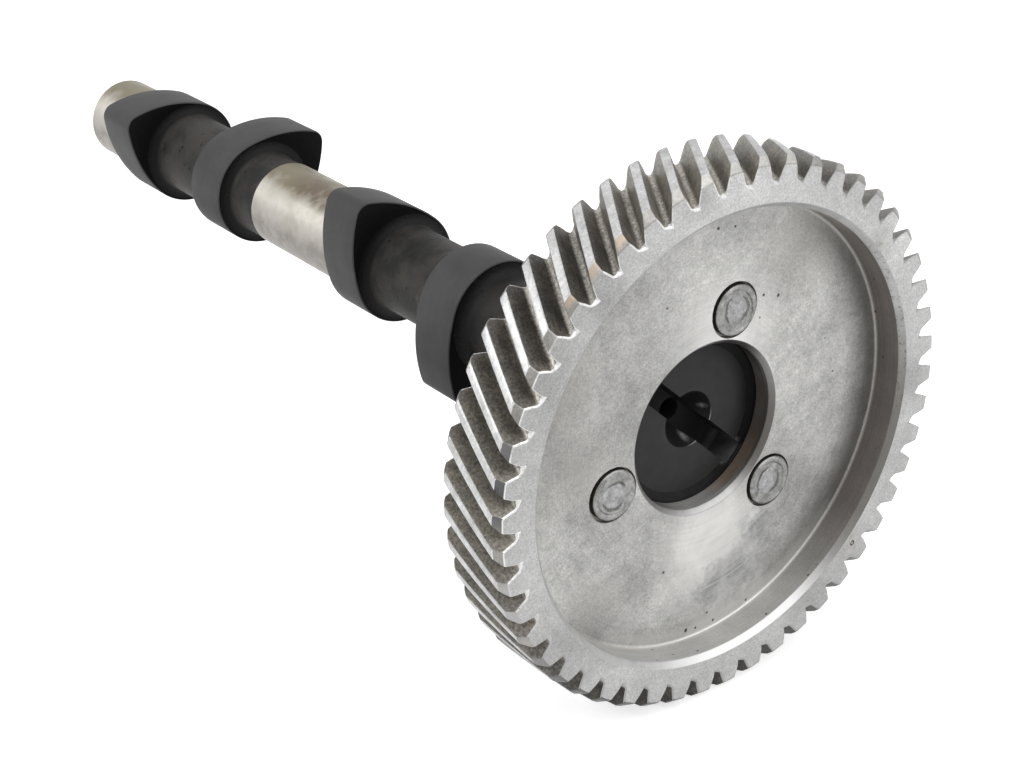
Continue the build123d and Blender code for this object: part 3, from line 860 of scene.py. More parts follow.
def rivet_shell(shell, gear, drive, rivets, radius, angle, seed):
    """One rivet about its own axis, moved to its place."""
    turns = np.linspace(0, FULL_TURN, RIVET_COLUMNS, endpoint=False)
    seat_y = gear.front_y + gear.recess_depth + rivets.seat_depth
    head_y = seat_y - rivets.head_height
    back_y = drive.seat_y + drive.flange_thickness
    edge_radius = rivets.head_radius - rivets.head_edge
    face_radii = np.linspace(0, edge_radius, 38)[:, None]
    depth, finish = struck_face(face_radii, turns, rivets, seed)
    centre = about_axis(angle, radius, 0)
    drift = about_axis(rivets.drift_turn, rivets.head_drift, 0)
    face = about_axis(turns, face_radii, head_y + depth) + drift * (face_radii / edge_radius)[..., None]
    shell.grid(centre + face, finish[:-1])
    arc = np.linspace(0, math.pi / 2, 7)
    rim = [(edge_radius + rivets.head_edge * math.sin(a), head_y + rivets.head_edge * (1 - math.cos(a)))
           for a in arc]
    side = rim + rounded([
        (rivets.head_radius, seat_y - 0.6 * MM), (rivets.head_radius, seat_y), (rivets.shank_radius, seat_y),
        (rivets.shank_radius, back_y - rivets.tail_depth), (rivets.tail_radius, back_y),
        (rivets.tail_radius - MM, back_y)], SMALL_EDGE) + [(0, back_y)]
    radii = np.array([r for r, _ in side])[:, None]
    along = np.repeat(np.array([y for _, y in side])[:, None], len(turns), axis=1)
    along[0] = head_y + depth[-1]
    finish = np.where(np.arange(len(side) - 1) < 4, RIVET_FACE, RIVET_SIDE)
    finish[-2:] = RIVET_FACE
    head = (np.arange(len(side)) < len(arc) + 1 + ROUND_POINTS)[:, None, None]
    shell.grid(centre + about_axis(turns, radii, along) + drift * head, finish[:, None])


class BuildRivets(bpy.types.Operator):
    """Three rivets that hold the gear to the flange"""
    bl_idname = "camshaft.build_rivets"
    bl_label = "Build rivets"

    def execute(self, context):
        scene = context.scene
        shell = Shell()
        for i, (radius, angle) in enumerate(rivet_places(scene.rivet_sizes)):
            rivet_shell(shell, scene.gear_sizes, scene.drive_end_sizes, scene.rivet_sizes, radius, angle,
                        1.0 + 2.1 * i)
        heads = shell.finished("struck_rivets", rivet_materials(scene.finishes))
        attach(heads, "root")
        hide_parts("gear_rivets")
        return {"FINISHED"}


# --- Finishes ---
class Finish:
    """Procedural material put together node by node on object coordinates, in millimetres.

    Its base colour is painted first, and each cover lays another colour over it."""

    def __init__(self, name, metallic, roughness, specular=0.5):
        self.material = bpy.data.materials.new(name)
        self.material.use_nodes = True
        self.tree = self.material.node_tree
        self.shader = self.tree.nodes["Principled BSDF"]
        self.shader.inputs["Metallic"].default_value = metallic
        self.shader.inputs["Roughness"].default_value = roughness
        self.shader.inputs["Specular IOR Level"].default_value = specular
        self.base = None
        place = self.add("ShaderNodeTexCoord").outputs["Object"]
        self.place = self.add("ShaderNodeVectorMath", {0: place, "Scale": 1 / MM},
                              operation="SCALE").outputs[0]
        across, self.along, self.height = self.add("ShaderNodeSeparateXYZ", {0: self.place}).outputs
        squares = [self.maths("MULTIPLY", part, part) for part in (across, self.height)]
        self.radius = self.maths("SQRT", self.maths("ADD", *squares))
        self.turn = self.maths("ARCTAN2", self.height, across)

    def add(self, kind, inputs=None, **settings):
        """New node with its settings and inputs; an input is a value or another node's output."""
        node = self.tree.nodes.new(kind)
        for name, value in settings.items():
            setattr(node, name, value)
        for name, value in (inputs or {}).items():
            if isinstance(value, bpy.types.NodeSocket):
                self.tree.links.new(value, node.inputs[name])
            else:
                node.inputs[name].default_value = value
        return node

    def maths(self, operation, *values):
        """Sum, product or other function of patterns and numbers."""
        return self.add("ShaderNodeMath", dict(enumerate(values)), operation=operation).outputs[0]

    def times(self, *patterns):
        """Patterns multiplied together."""
        product = patterns[0]
        for pattern in patterns[1:]:
            product = self.maths("MULTIPLY", product, pattern)
        return product

    def noise(self, scale, detail=3.0, roughness=0.55, distortion=0.0, at=None):
        """Cloudy pattern, on the place itself or on coordinates of its own."""
        return self.add("ShaderNodeTexNoise", {
            "Vector": self.place if at is None else at, "Scale": scale, "Detail": detail,
            "Roughness": roughness, "Distortion": distortion}).outputs["Fac"]

    def streaks(self, *pairs, detail=2.0, roughness=0.6):
        """Noise drawn out over three (coordinate, scale) pairs."""
        at = self.add("ShaderNodeCombineXYZ", {
            axis: self.maths("MULTIPLY", value, scale) for axis, (value, scale) in enumerate(pairs)})
        return self.noise(1.0, detail, roughness, at=at.outputs[0])

    def lines(self, radial, round_, axial, **kind):
        """Tool marks, by their scales over the radius, the way round and the place along."""
        return self.streaks((self.radius, radial), (self.turn, round_), (self.along, axial), **kind)

    def fine(self, scale):
        """Fine speckle stretched to its full range."""
        return self.levels(self.noise(scale, 3.0, 0.7), 0.3, 0.7)

    def levels(self, value, low, high, to_low=0.0, to_high=1.0):
        """Stretches the part of a pattern between two values over a new range."""
        return self.add("ShaderNodeMapRange", {
            "Value": value, "From Min": low, "From Max": high, "To Min": to_low,
            "To Max": to_high}).outputs["Result"]

    def at_radius(self, low, high, *new_range):
        """Share that changes from one radius to another."""
        return self.levels(self.radius, low, high, *new_range)

    def at_place(self, low, high, *new_range):
        """Share that changes from one place along the shaft to another."""
        return self.levels(self.along, low, high, *new_range)

    def away_from(self, place):
        """Distance along the shaft from a place."""
        return self.maths("ABSOLUTE", self.maths("SUBTRACT", self.along, place))

    def towards(self, angle, low, high, *new_range):
        """Share that changes with the cosine of the angle about the shaft from a direction."""
        cosine = self.maths("COSINE", self.maths("SUBTRACT", self.turn, angle))
        return self.levels(cosine, low, high, *new_range)

    def spots(self, *places, soft=1.0, ragged=0.0):
        """Largest share of spots seen along the shaft, each (x, z, radius).

        A spot's share falls from one to nothing over the soft part of its radius, and a ragged
        pattern moves its edge."""
        flat = self.add("ShaderNodeVectorMath", {0: self.place, 1: (1, 0, 1)}, operation="MULTIPLY")
        most = None
        for x, z, radius in places:
            away = self.add("ShaderNodeVectorMath", {0: flat.outputs[0], 1: (x, 0, z)},
                            operation="DISTANCE").outputs["Value"]
            share = self.levels(self.maths("ADD", away, ragged), radius, radius * (1 - soft))
            most = share if most is None else self.maths("MAXIMUM", most, share)
        return most

    def mix(self, share, first, second, blend="MIX"):
        """Blend of two colours, each a colour or another node's output."""
        node = self.add("ShaderNodeMix", data_type="RGBA", blend_type=blend)
        for socket, value in ((0, share), (6, first), (7, second)):
            if isinstance(value, bpy.types.NodeSocket):
                self.tree.links.new(value, node.inputs[socket])
            else:
                node.inputs[socket].default_value = (*value, 1.0) if socket else value
        return node.outputs[2]

    def set(self, name, pattern):
        """Leads a pattern or colour into an input of the shader."""
        self.tree.links.new(pattern, self.shader.inputs[name])

    def paint(self, colour, *patterns):
        """Base colour: a colour times 1 + 2 depth (pattern - 0.5) for each (pattern, depth) pair."""
        for pattern, depth in patterns:
            factor = self.maths("MULTIPLY_ADD", pattern, 2 * depth, 1 - depth)
            colour = self.mix(1.0, colour, factor, "MULTIPLY")
        self.base = colour

    def cover(self, colour, *shares):
        """Lays a colour over the base by the product of some shares."""
        self.base = self.mix(self.times(*shares), self.base, colour)

    def done(self, *layers):
        """Material with its base colour set, and bumps from (height pattern, depth) pairs."""
        self.set("Base Color", self.base)
        bump = {"Strength": 1.0}
        for pattern, depth in layers:
            bump.update({"Height": pattern, "Distance": depth * MM})
            bump["Normal"] = self.add("ShaderNodeBump", bump).outputs["Normal"]
        self.set("Normal", bump["Normal"])
        return self.material


def scaled(rgb, factor):
    """A colour made lighter or darker."""
    return tuple(min(1.0, c * factor) for c in rgb)


# Patches of stain, wear and damage, and patches of painted light and shade, on the gear and in its bore: (x,
# z, radius) in millimetres.
SMEARS = (12, -43.5, 9), (19.5, -33, 8), (4, -44.5, 7)
# Dull patches, partly painted shade, and clean ones, partly painted light, on the web.
SHADED_DULL_PATCHES = ((-52, 17, 32), (-24, 14, 22), (-36, 38, 20), (-33, -42, 14), (-18, -33, 11),
                (29, -24, 13))
LIT_CLEAN_PATCHES = (4, -31, 22), (4, 22, 20), (10, -52, 18)
BROWN_PATCHES = ((-33, -36, 10), (30, 41, 17), (-38, 2, 14), (-42, 22, 12), (17, -16, 9),
                 (41, -42, 8))
# Duller and cleaner patches on the rim, partly painted shade and painted light.
RIM_SHADED_DULL = ((58.5, 0, 9), (-54, 30, 16), (-40, 46, 10), (-47, -36, 26), (30, -52, 14),
            (-13.4, 62.5, 6))
RIM_LIT_CLEAN = (2, 60, 26), (50, 38, 12)
RIM_BROWN = (41.5, -42, 8), (44, 38, 6)
PITS = ((-13.5, 33.9, 0.32), (15.9, 29.5, 0.5), (20.6, 28.2, 0.5), (15.1, 24.1, 0.32),
        (37.1, 12.8, 0.35), (40.6, 3.1, 0.35), (0.8, 49.3, 0.4), (5.8, 48.7, 0.4),
        (-11.6, -34.2, 0.4), (-3.7, -53.4, 0.6), (-0.6, -53.8, 0.45), (5.1, -53.7, 0.45),
        (15.9, -52, 0.45), (3, -50.8, 0.35))
# Oil patches on the flanks; the thin oil also paints light on the left and top, the heavier oil paints shade
# below, on the right and up on the left.
THIN_OIL_AND_LIGHT = (-66, 0, 40), (0, 66, 30)
SOME_OIL_AND_SHADE = -42, 50, 18
THICK_OIL_AND_SHADE = (-10, -66, 52), (44, -50, 44), (64, 8, 44)
# Painted highlight along the roots of the gaps, on the upper left.
ROOT_HIGHLIGHTS = -28, 60, 60
# Painted shade on the tip lands, low on the left and less at the top.
SHADED_LANDS, LESS_SHADED_LANDS = (-36, -56, 32), (8, 68, 26)
# The last of these places painted highlights on the tip chamfers' edges.
PALE_TIPS, CLEAN_TIPS, TIP_EDGE_HIGHLIGHTS = (-6, 66, 26), (-64, -20, 10), (-64, 14, 34)
DARK_TIPS = (-66, 10, 15), (-35, -57, 34)
STRAW_TEETH = (-34.2, 57, 3.2), (-41, 52.4, 3.4), (-47, 47, 2.4)
# Painted highlight on the broken edges round the gaps on the left.
EDGE_HIGHLIGHTS = -50, 40, 77
# Painted highlight on the lip of the centre.
LIP_HIGHLIGHT = 5.4, -4.6, 6.0
# Painted glints on the centre's cone.
CONE_GLINTS = (0.9, -5.5, 1.2), (5.9, 1.2, 0.9)

# Directions about the shaft, places along it and radii that bound the finishes, in millimetres.
UNDER, RIGHT, LEFT_UNDER, SLOT_LOWER_END = -1.4, 0.0, -2.1, -0.742
GEAR_MIDDLE, ROUGH_RING, STAINED_PLACE = -25.75, 69.4, 131.0
PITCH_RADIUS, HELIX_SLOPE = 65.0, 0.65


def gear_materials(colours):
    """Finishes of the gear, in the order of its face groups."""
    return [machined_alloy(colours), stained_and_shaded_wall(colours), tooth_flank(colours), tooth_land(colours),
            tip_chamfer(colours), tooth_edge(colours), bore_wall(colours), turned_chamfer(colours)]


def machined_alloy(colours):
    """Turned alloy: a mottled web with smears, brown patches, pits and painted light and shade, inside a
    cleaner rim.
    """
    finish = Finish("machined_alloy", metallic=0.5, roughness=0.42)
    cloud = finish.noise(0.05, 4.0, 0.6, distortion=0.4)
    mottle = finish.noise(0.35, 5.0, 0.7)
    grain = finish.fine(2.2)
    lines = finish.lines(1.8, 1.0, 0.3)
    lit_clean = finish.spots(*LIT_CLEAN_PATCHES, soft=0.7)
    calm_mottle = finish.levels(lit_clean, 0.0, 1.0, mottle, 0.5)
    calm_grain = finish.levels(lit_clean, 0.0, 1.0, grain, 0.5)
    # The clean patches lighten and the dull ones darken the web, partly as painted light and shade.
    finish.paint(colours.alloy, (cloud, 0.5), (calm_mottle, 0.5), (calm_grain, 0.26),
                 (lines, 0.14), (lit_clean, 0.18), (finish.spots(*SHADED_DULL_PATCHES), -0.22))
    finish.cover(colours.alloy_stain_and_shade, finish.spots(*BROWN_PATCHES),
                 finish.levels(mottle, 0.38, 0.6, 0.1, 0.6))
    ragged = finish.levels(mottle, 0.35, 0.65, -3.0, 3.0)
    finish.cover(colours.smear, finish.spots(*SMEARS, soft=0.9, ragged=ragged),
                 finish.levels(lines, 0.3, 0.7, 0.3, 0.9))
    # Painted shade near the recess wall on the right, in the tarnish colour.
    finish.cover(colours.tarnish_and_shade, finish.at_radius(44.5, 53.0, 0.0, 0.72),
                 finish.at_radius(55.3, 54.8, 0.65, 1.0), finish.towards(RIGHT, 0.4, 0.8))
    # Painted light low on the web, near the foot of the wall.
    finish.cover(scaled(colours.alloy, 1.45), finish.at_radius(51.5, 53.5, 0.0, 0.55),
                 finish.towards(UNDER, 0.7, 0.9))
    web = finish.base
    # The rim's cleaner and duller patches are partly painted light and shade.
    finish.paint(colours.alloy_rim, (cloud, 0.25), (mottle, 0.3), (grain, 0.26), (lines, 0.08),
                 (finish.spots(*RIM_LIT_CLEAN), 0.13), (finish.spots(*RIM_SHADED_DULL), -0.15))
    finish.cover(scaled(colours.alloy_stain_and_shade, 0.9), finish.spots(*RIM_BROWN),
                 finish.levels(mottle, 0.4, 0.6, 0.0, 0.8))
    finish.base = finish.mix(finish.at_radius(55.9, 56.2), web, finish.base)
    pits = finish.spots(*PITS, soft=0.5, ragged=finish.levels(mottle, 0.3, 0.7, -0.25, 0.25))
    finish.cover(scaled(colours.tarnish_and_shade, 0.5), pits)
    finish.set("Roughness", finish.levels(mottle, 0.3, 0.7, 0.36, 0.48))
    return finish.done((lines, 0.01), (grain, 0.006), (pits, -0.1))


def turned_chamfer(colours):
    """Chamfers of the recess and the bore: painted highlight below, painted shade on the right and round the
    bore, specked dark on one side.
    """
    finish = Finish("turned_chamfer", metallic=0.4, roughness=0.4)
    lines = finish.lines(1.2, 1.5, 1.2)
    finish.paint(colours.alloy_rim, (finish.noise(0.3, 4.0, 0.6), 0.3), (lines, 0.15),
                 (finish.fine(2.2), 0.08))
    # Painted highlight on the chamfers below.
    finish.cover(scaled(colours.alloy_rim, 1.42), finish.towards(UNDER, 0.84, 0.97),
                 finish.at_radius(30, 40, 0.3, 1.0))
    # Painted shade, brown grey, on the lower right.
    finish.cover(scaled(colours.alloy_stain_and_shade, 0.5), finish.towards(-0.38, 0.72, 0.97, 0.0, 0.88))
    # Painted shade round the bore's chamfer except low down, near black up on the right.
    finish.cover(scaled(colours.tarnish_and_shade, 0.9), finish.at_radius(31, 29, 0.0, 0.62),
                 finish.towards(UNDER, 0.95, 0.6, 0.3, 1.0))
    finish.cover(scaled(colours.tarnish_and_shade, 0.15), finish.at_radius(31, 29),
                 finish.towards(1.15, 0.9, 0.99, 0.0, 0.85))
    finish.cover(scaled(colours.tarnish_and_shade, 0.6), finish.at_radius(50, 51),
                 finish.levels(finish.noise(1.3), 0.57, 0.66, 0.0, 0.8), finish.towards(0.3, 0.86, 0.97))
    return finish.done((lines, 0.02))


def stained_and_shaded_wall(colours):
    """Wall of the recess: dull alloy, tarnished brown and darkened as painted shade round one side, with a
    painted highlight at its foot.
    """
    finish = Finish("stained_and_shaded_wall", metallic=0.35, roughness=0.48)
    lines = finish.lines(0.3, 0.5, 1.8, roughness=0.7)
    cloud = finish.levels(finish.noise(0.1, 4.0, 0.6), 0.35, 0.65)
    pits = finish.levels(finish.noise(0.55, 1.0), 0.74, 0.77)
    dull = finish.mix(cloud, scaled(colours.alloy, 1.12), scaled(colours.alloy, 0.92))
    dark = finish.mix(cloud, scaled(colours.tarnish_and_shade, 1.9), scaled(colours.tarnish_and_shade, 1.6))
    # The right side is tarnished brown and darkened as painted shade.
    finish.paint(finish.mix(finish.towards(0.1, 0.3, 0.75), dull, dark), (lines, 0.25),
                 (finish.fine(1.8), 0.1))
    # Painted highlight at the foot of the wall, weaker on the right.
    finish.cover(colours.foot_highlight, finish.at_place(-28.0, -27.7, 0.0, 0.7),
                 finish.towards(RIGHT, 0.7, 0.0, 0.2, 1.0))
    finish.cover(scaled(colours.tarnish_and_shade, 0.5), pits)
    return finish.done((lines, 0.02), (pits, -0.06))


def bore_wall(colours):
    """Wall of the bore, dark as painted shade: near black on top, dark brown at the sides and paler low down
    as painted light.
    """
    finish = Finish("bore_wall", metallic=0.2, roughness=0.5, specular=0.12)
    lines = finish.lines(0.3, 0.5, 1.8, roughness=0.7)
    # The bore's dark tone is painted shade, near black on top; paler low down as painted light.
    finish.paint(scaled(colours.tarnish_and_shade, 1.15))
    finish.cover(scaled(colours.tarnish_and_shade, 0.15), finish.towards(1.3, 0.6, 0.9))
    finish.cover(scaled(colours.alloy, 0.85), finish.towards(-1.3, 0.65, 0.95))
    finish.cover(colours.bore_brown, finish.towards(-0.85, 0.85, 0.98, 0.0, 0.75))
    finish.paint(finish.base, (lines, 0.25), (finish.noise(0.12, 3.0, 0.6), 0.4))
    return finish.done((lines, 0.02))


def tooth_flank(colours):
    """Hobbed flanks under speckled oil residue, streaked along the teeth, with a painted highlight in the
    roots and oil patches that also paint light and shade.
    """
    finish = Finish("tooth_flank", metallic=0.25, roughness=0.42, specular=0.4)
    slant = finish.maths("MULTIPLY", finish.along, HELIX_SLOPE)
    arc = finish.maths("MULTIPLY_ADD", finish.turn, PITCH_RADIUS, slant)
    streaks = finish.streaks((finish.radius, 1.8), (arc, 1.4), (finish.along, 0.14),
                             detail=3.0, roughness=0.7)
    grain = finish.fine(1.5)
    smear = finish.noise(0.22, 4.0, 0.65)
    finish.paint(colours.flank_dark, (smear, 0.8), (streaks, 0.8))
    finish.cover(scaled(colours.straw, 0.55), finish.levels(smear, 0.54, 0.7, 0.0, 0.6))
    finish.cover(scaled(colours.alloy, 0.6), finish.at_radius(65.4, 67.2, 0.0, 0.35))
    # The thin oil also paints light on the left and top; the heavier oil paints shade.
    finish.cover(colours.thin_oil_and_light, finish.spots(*THIN_OIL_AND_LIGHT), finish.levels(smear, 0.4, 0.6, 0.5, 0.95))
    some = finish.levels(finish.spots(SOME_OIL_AND_SHADE, soft=0.5), 0.0, 1.0, 0.0, 0.55)
    finish.cover(scaled(colours.flank_dark, 0.12),
                 finish.maths("MAXIMUM", some, finish.spots(*THICK_OIL_AND_SHADE, soft=0.4)),
                 finish.levels(smear, 0.35, 0.6, 0.98, 0.75))
    # Painted highlight along the roots.
    finish.cover(colours.root_highlight, finish.at_radius(62.45, 62.0, 0.0, 0.9),
                 finish.levels(finish.spots(ROOT_HIGHLIGHTS, soft=0.4), 0.0, 1.0, 0.3, 1.0),
                 finish.levels(streaks, 0.3, 0.6, 0.5, 1.0))
    finish.paint(finish.base, (grain, 0.6))
    return finish.done((streaks, 0.08), (grain, 0.02))


def tooth_land(colours):
    """Turned tip lands, pale, speckled and scratched, with painted shade low on the left and at the top."""
    finish = Finish("tooth_land", metallic=0.4, roughness=0.38)
    lines = finish.lines(1.0, 2.0, 1.8, roughness=0.7)
    grain = finish.fine(1.7)
    # The spots darken the lands low on the left and at the top: painted shade.
    finish.paint(scaled(colours.alloy_bright, 0.76), (finish.noise(0.3, 4.0, 0.6), 0.5), (grain, 0.2),
                 (lines, 0.25), (finish.spots(SHADED_LANDS), -0.38), (finish.spots(LESS_SHADED_LANDS), -0.15))
    return finish.done((lines, 0.02), (grain, 0.008))


def tip_chamfer(colours):
    """Chamfers on the tooth tips, grey from tooth to tooth, dark in places, straw on a few, with painted
    highlights on their edges at the left.
    """
    finish = Finish("tip_chamfer", metallic=0.4, roughness=0.38)
    mottle = finish.noise(0.25, 4.0, 0.6)
    tooth = finish.lines(0.0, 7.0, 0.0, detail=1.0, roughness=0.5)
    finish.paint(finish.mix(0.5, colours.alloy, colours.alloy_stain_and_shade), (mottle, 0.5),
                 (finish.fine(2.0), 0.15), (tooth, 0.5), (finish.spots(PALE_TIPS), 0.2))
    finish.cover(colours.dark_tip, finish.spots(*DARK_TIPS, soft=0.6),
                 finish.levels(mottle, 0.3, 0.6, 0.6, 0.95))
    finish.cover(scaled(colours.alloy, 0.95), finish.spots(CLEAN_TIPS, soft=0.5))
    finish.cover(colours.straw, finish.spots(*STRAW_TEETH, soft=0.5),
                 finish.levels(mottle, 0.35, 0.55, 0.5, 0.9), finish.at_place(-35.5, -35.1, 0.2, 1.0))
    # Painted highlights along the edges of the chamfers on the left.
    away = finish.away_from(GEAR_MIDDLE)
    tip_edge_highlight = finish.maths("MAXIMUM", finish.levels(away, 10.09, 10.18), finish.levels(away, 8.54, 8.45))
    finish.cover(colours.burr_highlight, tip_edge_highlight, finish.spots(TIP_EDGE_HIGHLIGHTS, soft=0.3),
                 finish.levels(mottle, 0.3, 0.5, 0.3, 0.9))
    return finish.done((mottle, 0.03))


def tooth_edge(colours):
    """Broken edges round the ends of the tooth gaps, with a painted highlight on one side of the gear."""
    finish = Finish("tooth_edge", metallic=0.3, roughness=0.35)
    grain = finish.noise(1.4, 3.0, 0.65)
    bright = finish.mix(finish.levels(grain, 0.5, 0.7), colours.burr_highlight, scaled(colours.alloy, 1.1))
    finish.paint(scaled(colours.alloy_rim, 0.85))
    # Painted highlight on the edges on one side of the gear.
    finish.cover(bright, finish.spots(EDGE_HIGHLIGHTS, soft=0.3))
    return finish.done((grain, 0.04))


def shaft_materials(colours):
    """Finishes of the casting, in the order of its face groups."""
    return [drive_face(colours), cast_skin(colours), lobe_side(colours), lobe_face(colours),
            ground_journal(colours), centre_cone(colours), dark_recess(colours)]


def drive_face(colours):
    """Coated boss face with fine turning lines, painted shade near its rim on the right and a painted
    highlight on the lip of the centre.
    """
    finish = Finish("drive_face", metallic=0.0, roughness=0.42, specular=0.15)
    lines = finish.lines(2.0, 0.5, 0.3)
    finish.paint(colours.drive_face, (finish.noise(0.25), 0.3), (lines, 0.15))
    # Painted shade near the rim on the right.
    finish.cover(scaled(colours.drive_face, 0.35), finish.at_radius(14.5, 18.0),
                 finish.towards(0.5, 0.4, 0.9))
    # Painted highlight on the lip of the centre.
    finish.cover(scaled(colours.alloy, 0.8), finish.at_radius(7.3, 7.15),
                 finish.at_radius(6.8, 6.95), finish.spots(LIP_HIGHLIGHT, soft=0.5))
    return finish.done((lines, 0.01))


def dark_recess(colours):
    """Slot, pilot drilling and outer ring of the boss, painted near black as shade, with painted light low
    down.

    The slot's floor has painted light away from the middle, and its lower end painted light at the lip."""
    finish = Finish("dark_recess", metallic=0.0, roughness=0.55, specular=0.06)
    rough = finish.noise(0.6, 4.0, 0.6)
    tone, ring = colours.drive_face, finish.at_radius(17.8, 18.2)
    # Darker than the face as painted shade; the covers paint more shade and light by side.
    finish.paint(scaled(tone, 0.55))
    # Painted shade on the ring's right.
    finish.cover(scaled(tone, 0.15), ring, finish.towards(RIGHT, 0.3, 0.8))
    # Painted light on the ring low on the left.
    finish.cover(scaled(tone, 0.75), ring, finish.towards(LEFT_UNDER, 0.6, 0.9))
    # Painted light on the slot's floor away from the middle, and at its lower end by the lip.
    finish.cover(tone, finish.at_place(-15.2, -14.0), finish.at_radius(11.0, 15.0))
    finish.cover(scaled(tone, 4.0), finish.at_radius(16.5, 18.5),
                 finish.towards(SLOT_LOWER_END, 0.975, 0.985), finish.at_place(-21.4, -20.7))
    finish.paint(finish.base, (rough, 0.5))
    return finish.done((rough, 0.03))


def centre_cone(colours):
    """Turned cone of the lathe centre, near black and smooth, with two painted glints."""
    finish = Finish("centre_cone", metallic=0.0, roughness=0.3, specular=0.12)
    grain = finish.noise(1.2, 3.0, 0.6)
    finish.paint(scaled(colours.drive_face, 0.5), (grain, 0.6))
    # Two painted glints.
    finish.cover(scaled(colours.alloy, 0.7), finish.spots(*CONE_GLINTS),
                 finish.levels(grain, 0.3, 0.7, 0.3, 1.0))
    return finish.done((grain, 0.03))


def cast_skin(colours):
    """Rough as-cast iron under the dark coating, with painted shade, near black, where it flares into a lobe
    and a painted shadow on the neck behind the gear.
    """
    finish = Finish("cast_skin", metallic=0.0, roughness=0.5, specular=0.12)
    rough = finish.noise(0.9, 6.0, 0.68)
    bloom = finish.levels(finish.noise(0.09, 3.0, 0.6), 0.34, 0.66)
    pits = finish.levels(finish.noise(0.5, 1.0), 0.71, 0.75)
    finish.paint(colours.cast_skin, (rough, 0.5), (bloom, 0.4), (finish.at_place(80.0, 200.0), 0.2))
    finish.cover(colours.brown_bloom, finish.levels(bloom, 0.35, 1.0, 0.0, 0.8))
    # Painted shade, near black, where the casting is wider than the neck, except round the rough ring.
    finish.cover(scaled(colours.lobe_side, 0.6), finish.at_radius(12.2, 12.8),
                 finish.levels(finish.away_from(ROUGH_RING), 3.2, 4.2))
    # Painted shadow on the neck before the first lobe.
    finish.cover(colours.lobe_side, finish.at_place(38.0, 50.0, 0.0, 0.8), finish.at_place(52.0, 51.5))
    finish.cover(scaled(colours.cast_skin, 0.3), pits)
    return finish.done((rough, 0.2), (pits, -0.15))


def lobe_side(colours):
    """Sides of the lobes, near black, a little greyer out on the noses."""
    finish = Finish("lobe_side", metallic=0.0, roughness=0.6, specular=0.04)
    rough = finish.noise(1.0, 5.0, 0.65)
    finish.paint(scaled(colours.lobe_side, 0.8))
    finish.cover(colours.cast_skin, finish.at_radius(17.0, 24.0, 0.0, 0.22),
                 finish.at_place(60.0, 70.0, 0.1, 1.0))
    finish.paint(finish.base, (rough, 0.5))
    return finish.done((rough, 0.06))


def lobe_face(colours):
    """Ground and phosphated running face of the lobes, with faint grinding lines and painted shade below."""
    finish = Finish("lobe_face", metallic=0.0, roughness=0.5, specular=0.12)
    lines = finish.lines(0.2, 0.4, 2.0, roughness=0.7)
    cloud = finish.noise(0.1, 4.0, 0.6, distortion=0.5)
    finish.paint(colours.phosphate, (cloud, 0.3), (lines, 0.12))
    # Painted shade on the lower side.
    finish.cover(scaled(colours.cast_skin, 0.3), finish.levels(finish.height, 2.0, -10.0),
                 finish.at_place(110.0, 170.0, 0.5, 1.0))
    return finish.done((lines, 0.01))


def ground_journal(colours):
    """Ground journal: pale steel, olive on top, brown in a patch there, a painted highlight up on the left
    and painted shade below.
    """
    finish = Finish("ground_journal", metallic=0.6, roughness=0.4)
    lines = finish.lines(0.2, 0.6, 2.5)
    cloud = finish.noise(0.07, 3.0, 0.55, distortion=0.3)
    mottle = finish.noise(0.28, 5.0, 0.62)
    finish.paint(colours.ground_steel, (finish.levels(mottle, 0.3, 0.7), 0.14), (lines, 0.03))
    stain = finish.levels(mottle, 0.35, 0.65, -0.15, 0.2)
    for part in (finish.levels(cloud, 0.4, 0.62, 0.1, 0.5),
                 finish.levels(finish.height, 9.0, 12.2, 0.0, 0.7),
                 finish.at_place(142.0, 116.0, 0.0, 0.15),
                 # Less stain up on the left: a painted highlight.
                 finish.towards(2.7, 0.85, 1.0, 0.0, -0.35)):
        stain = finish.maths("ADD", stain, part)
    finish.cover(colours.journal_stain, finish.levels(stain, 0.0, 1.0))
    finish.cover(colours.journal_brown, finish.towards(1.87, 0.86, 0.97),
                 finish.levels(finish.away_from(STAINED_PLACE), 16.0, 7.0),
                 finish.levels(mottle, 0.4, 0.56, 0.45, 0.95))
    # Painted shade on the underside.
    finish.cover(colours.journal_shade, finish.levels(finish.height, 6.0, -1.0),
                 finish.levels(mottle, 0.35, 0.6, 0.65, 0.95))
    return finish.done((lines, 0.003))


def rivet_materials(colours):
    """Finishes of the rivets, in the order of their face groups."""
    return [struck_steel("rivet_face", colours.rivet, 0.42),
            struck_steel("rivet_middle", colours.rivet_middle, 0.4),
            struck_steel("rivet_ring", scaled(colours.rivet, 0.5), 0.5),
            # The sides in the seats' gaps are painted near black as shade.
            struck_steel("rivet_side", scaled(colours.flank_dark, 0.2), 0.5)]


def struck_steel(name, tone, roughness):
    """Struck plain steel of one tone with blotches and fine scratches."""
    finish = Finish(name, metallic=0.6, roughness=roughness)
    mottle = finish.levels(finish.noise(0.5, 4.0, 0.65, distortion=0.5), 0.3, 0.7)
    grain = finish.fine(2.0)
    finish.paint(tone, (mottle, 0.4), (grain, 0.2))
    return finish.done((mottle, 0.05), (grain, 0.006))


# --- Stage ---
def see_white(tree, strength):
    """Light that is white to the camera and in reflections, and of a lower strength otherwise."""
    path = tree.nodes.new("ShaderNodeLightPath")
    seen = path.outputs["Is Camera Ray"]
    for name in ("Is Glossy Ray", "Is Transmission Ray"):
        either = tree.nodes.new("ShaderNodeMath")
        either.operation = "MAXIMUM"
        tree.links.new(seen, either.inputs[0])
        tree.links.new(path.outputs[name], either.inputs[1])
        seen = either.outputs[0]
    level = tree.nodes.new("ShaderNodeMapRange")
    level.inputs["To Min"].default_value = strength
    tree.links.new(seen, level.inputs["Value"])
    return seen, level.outputs["Result"]


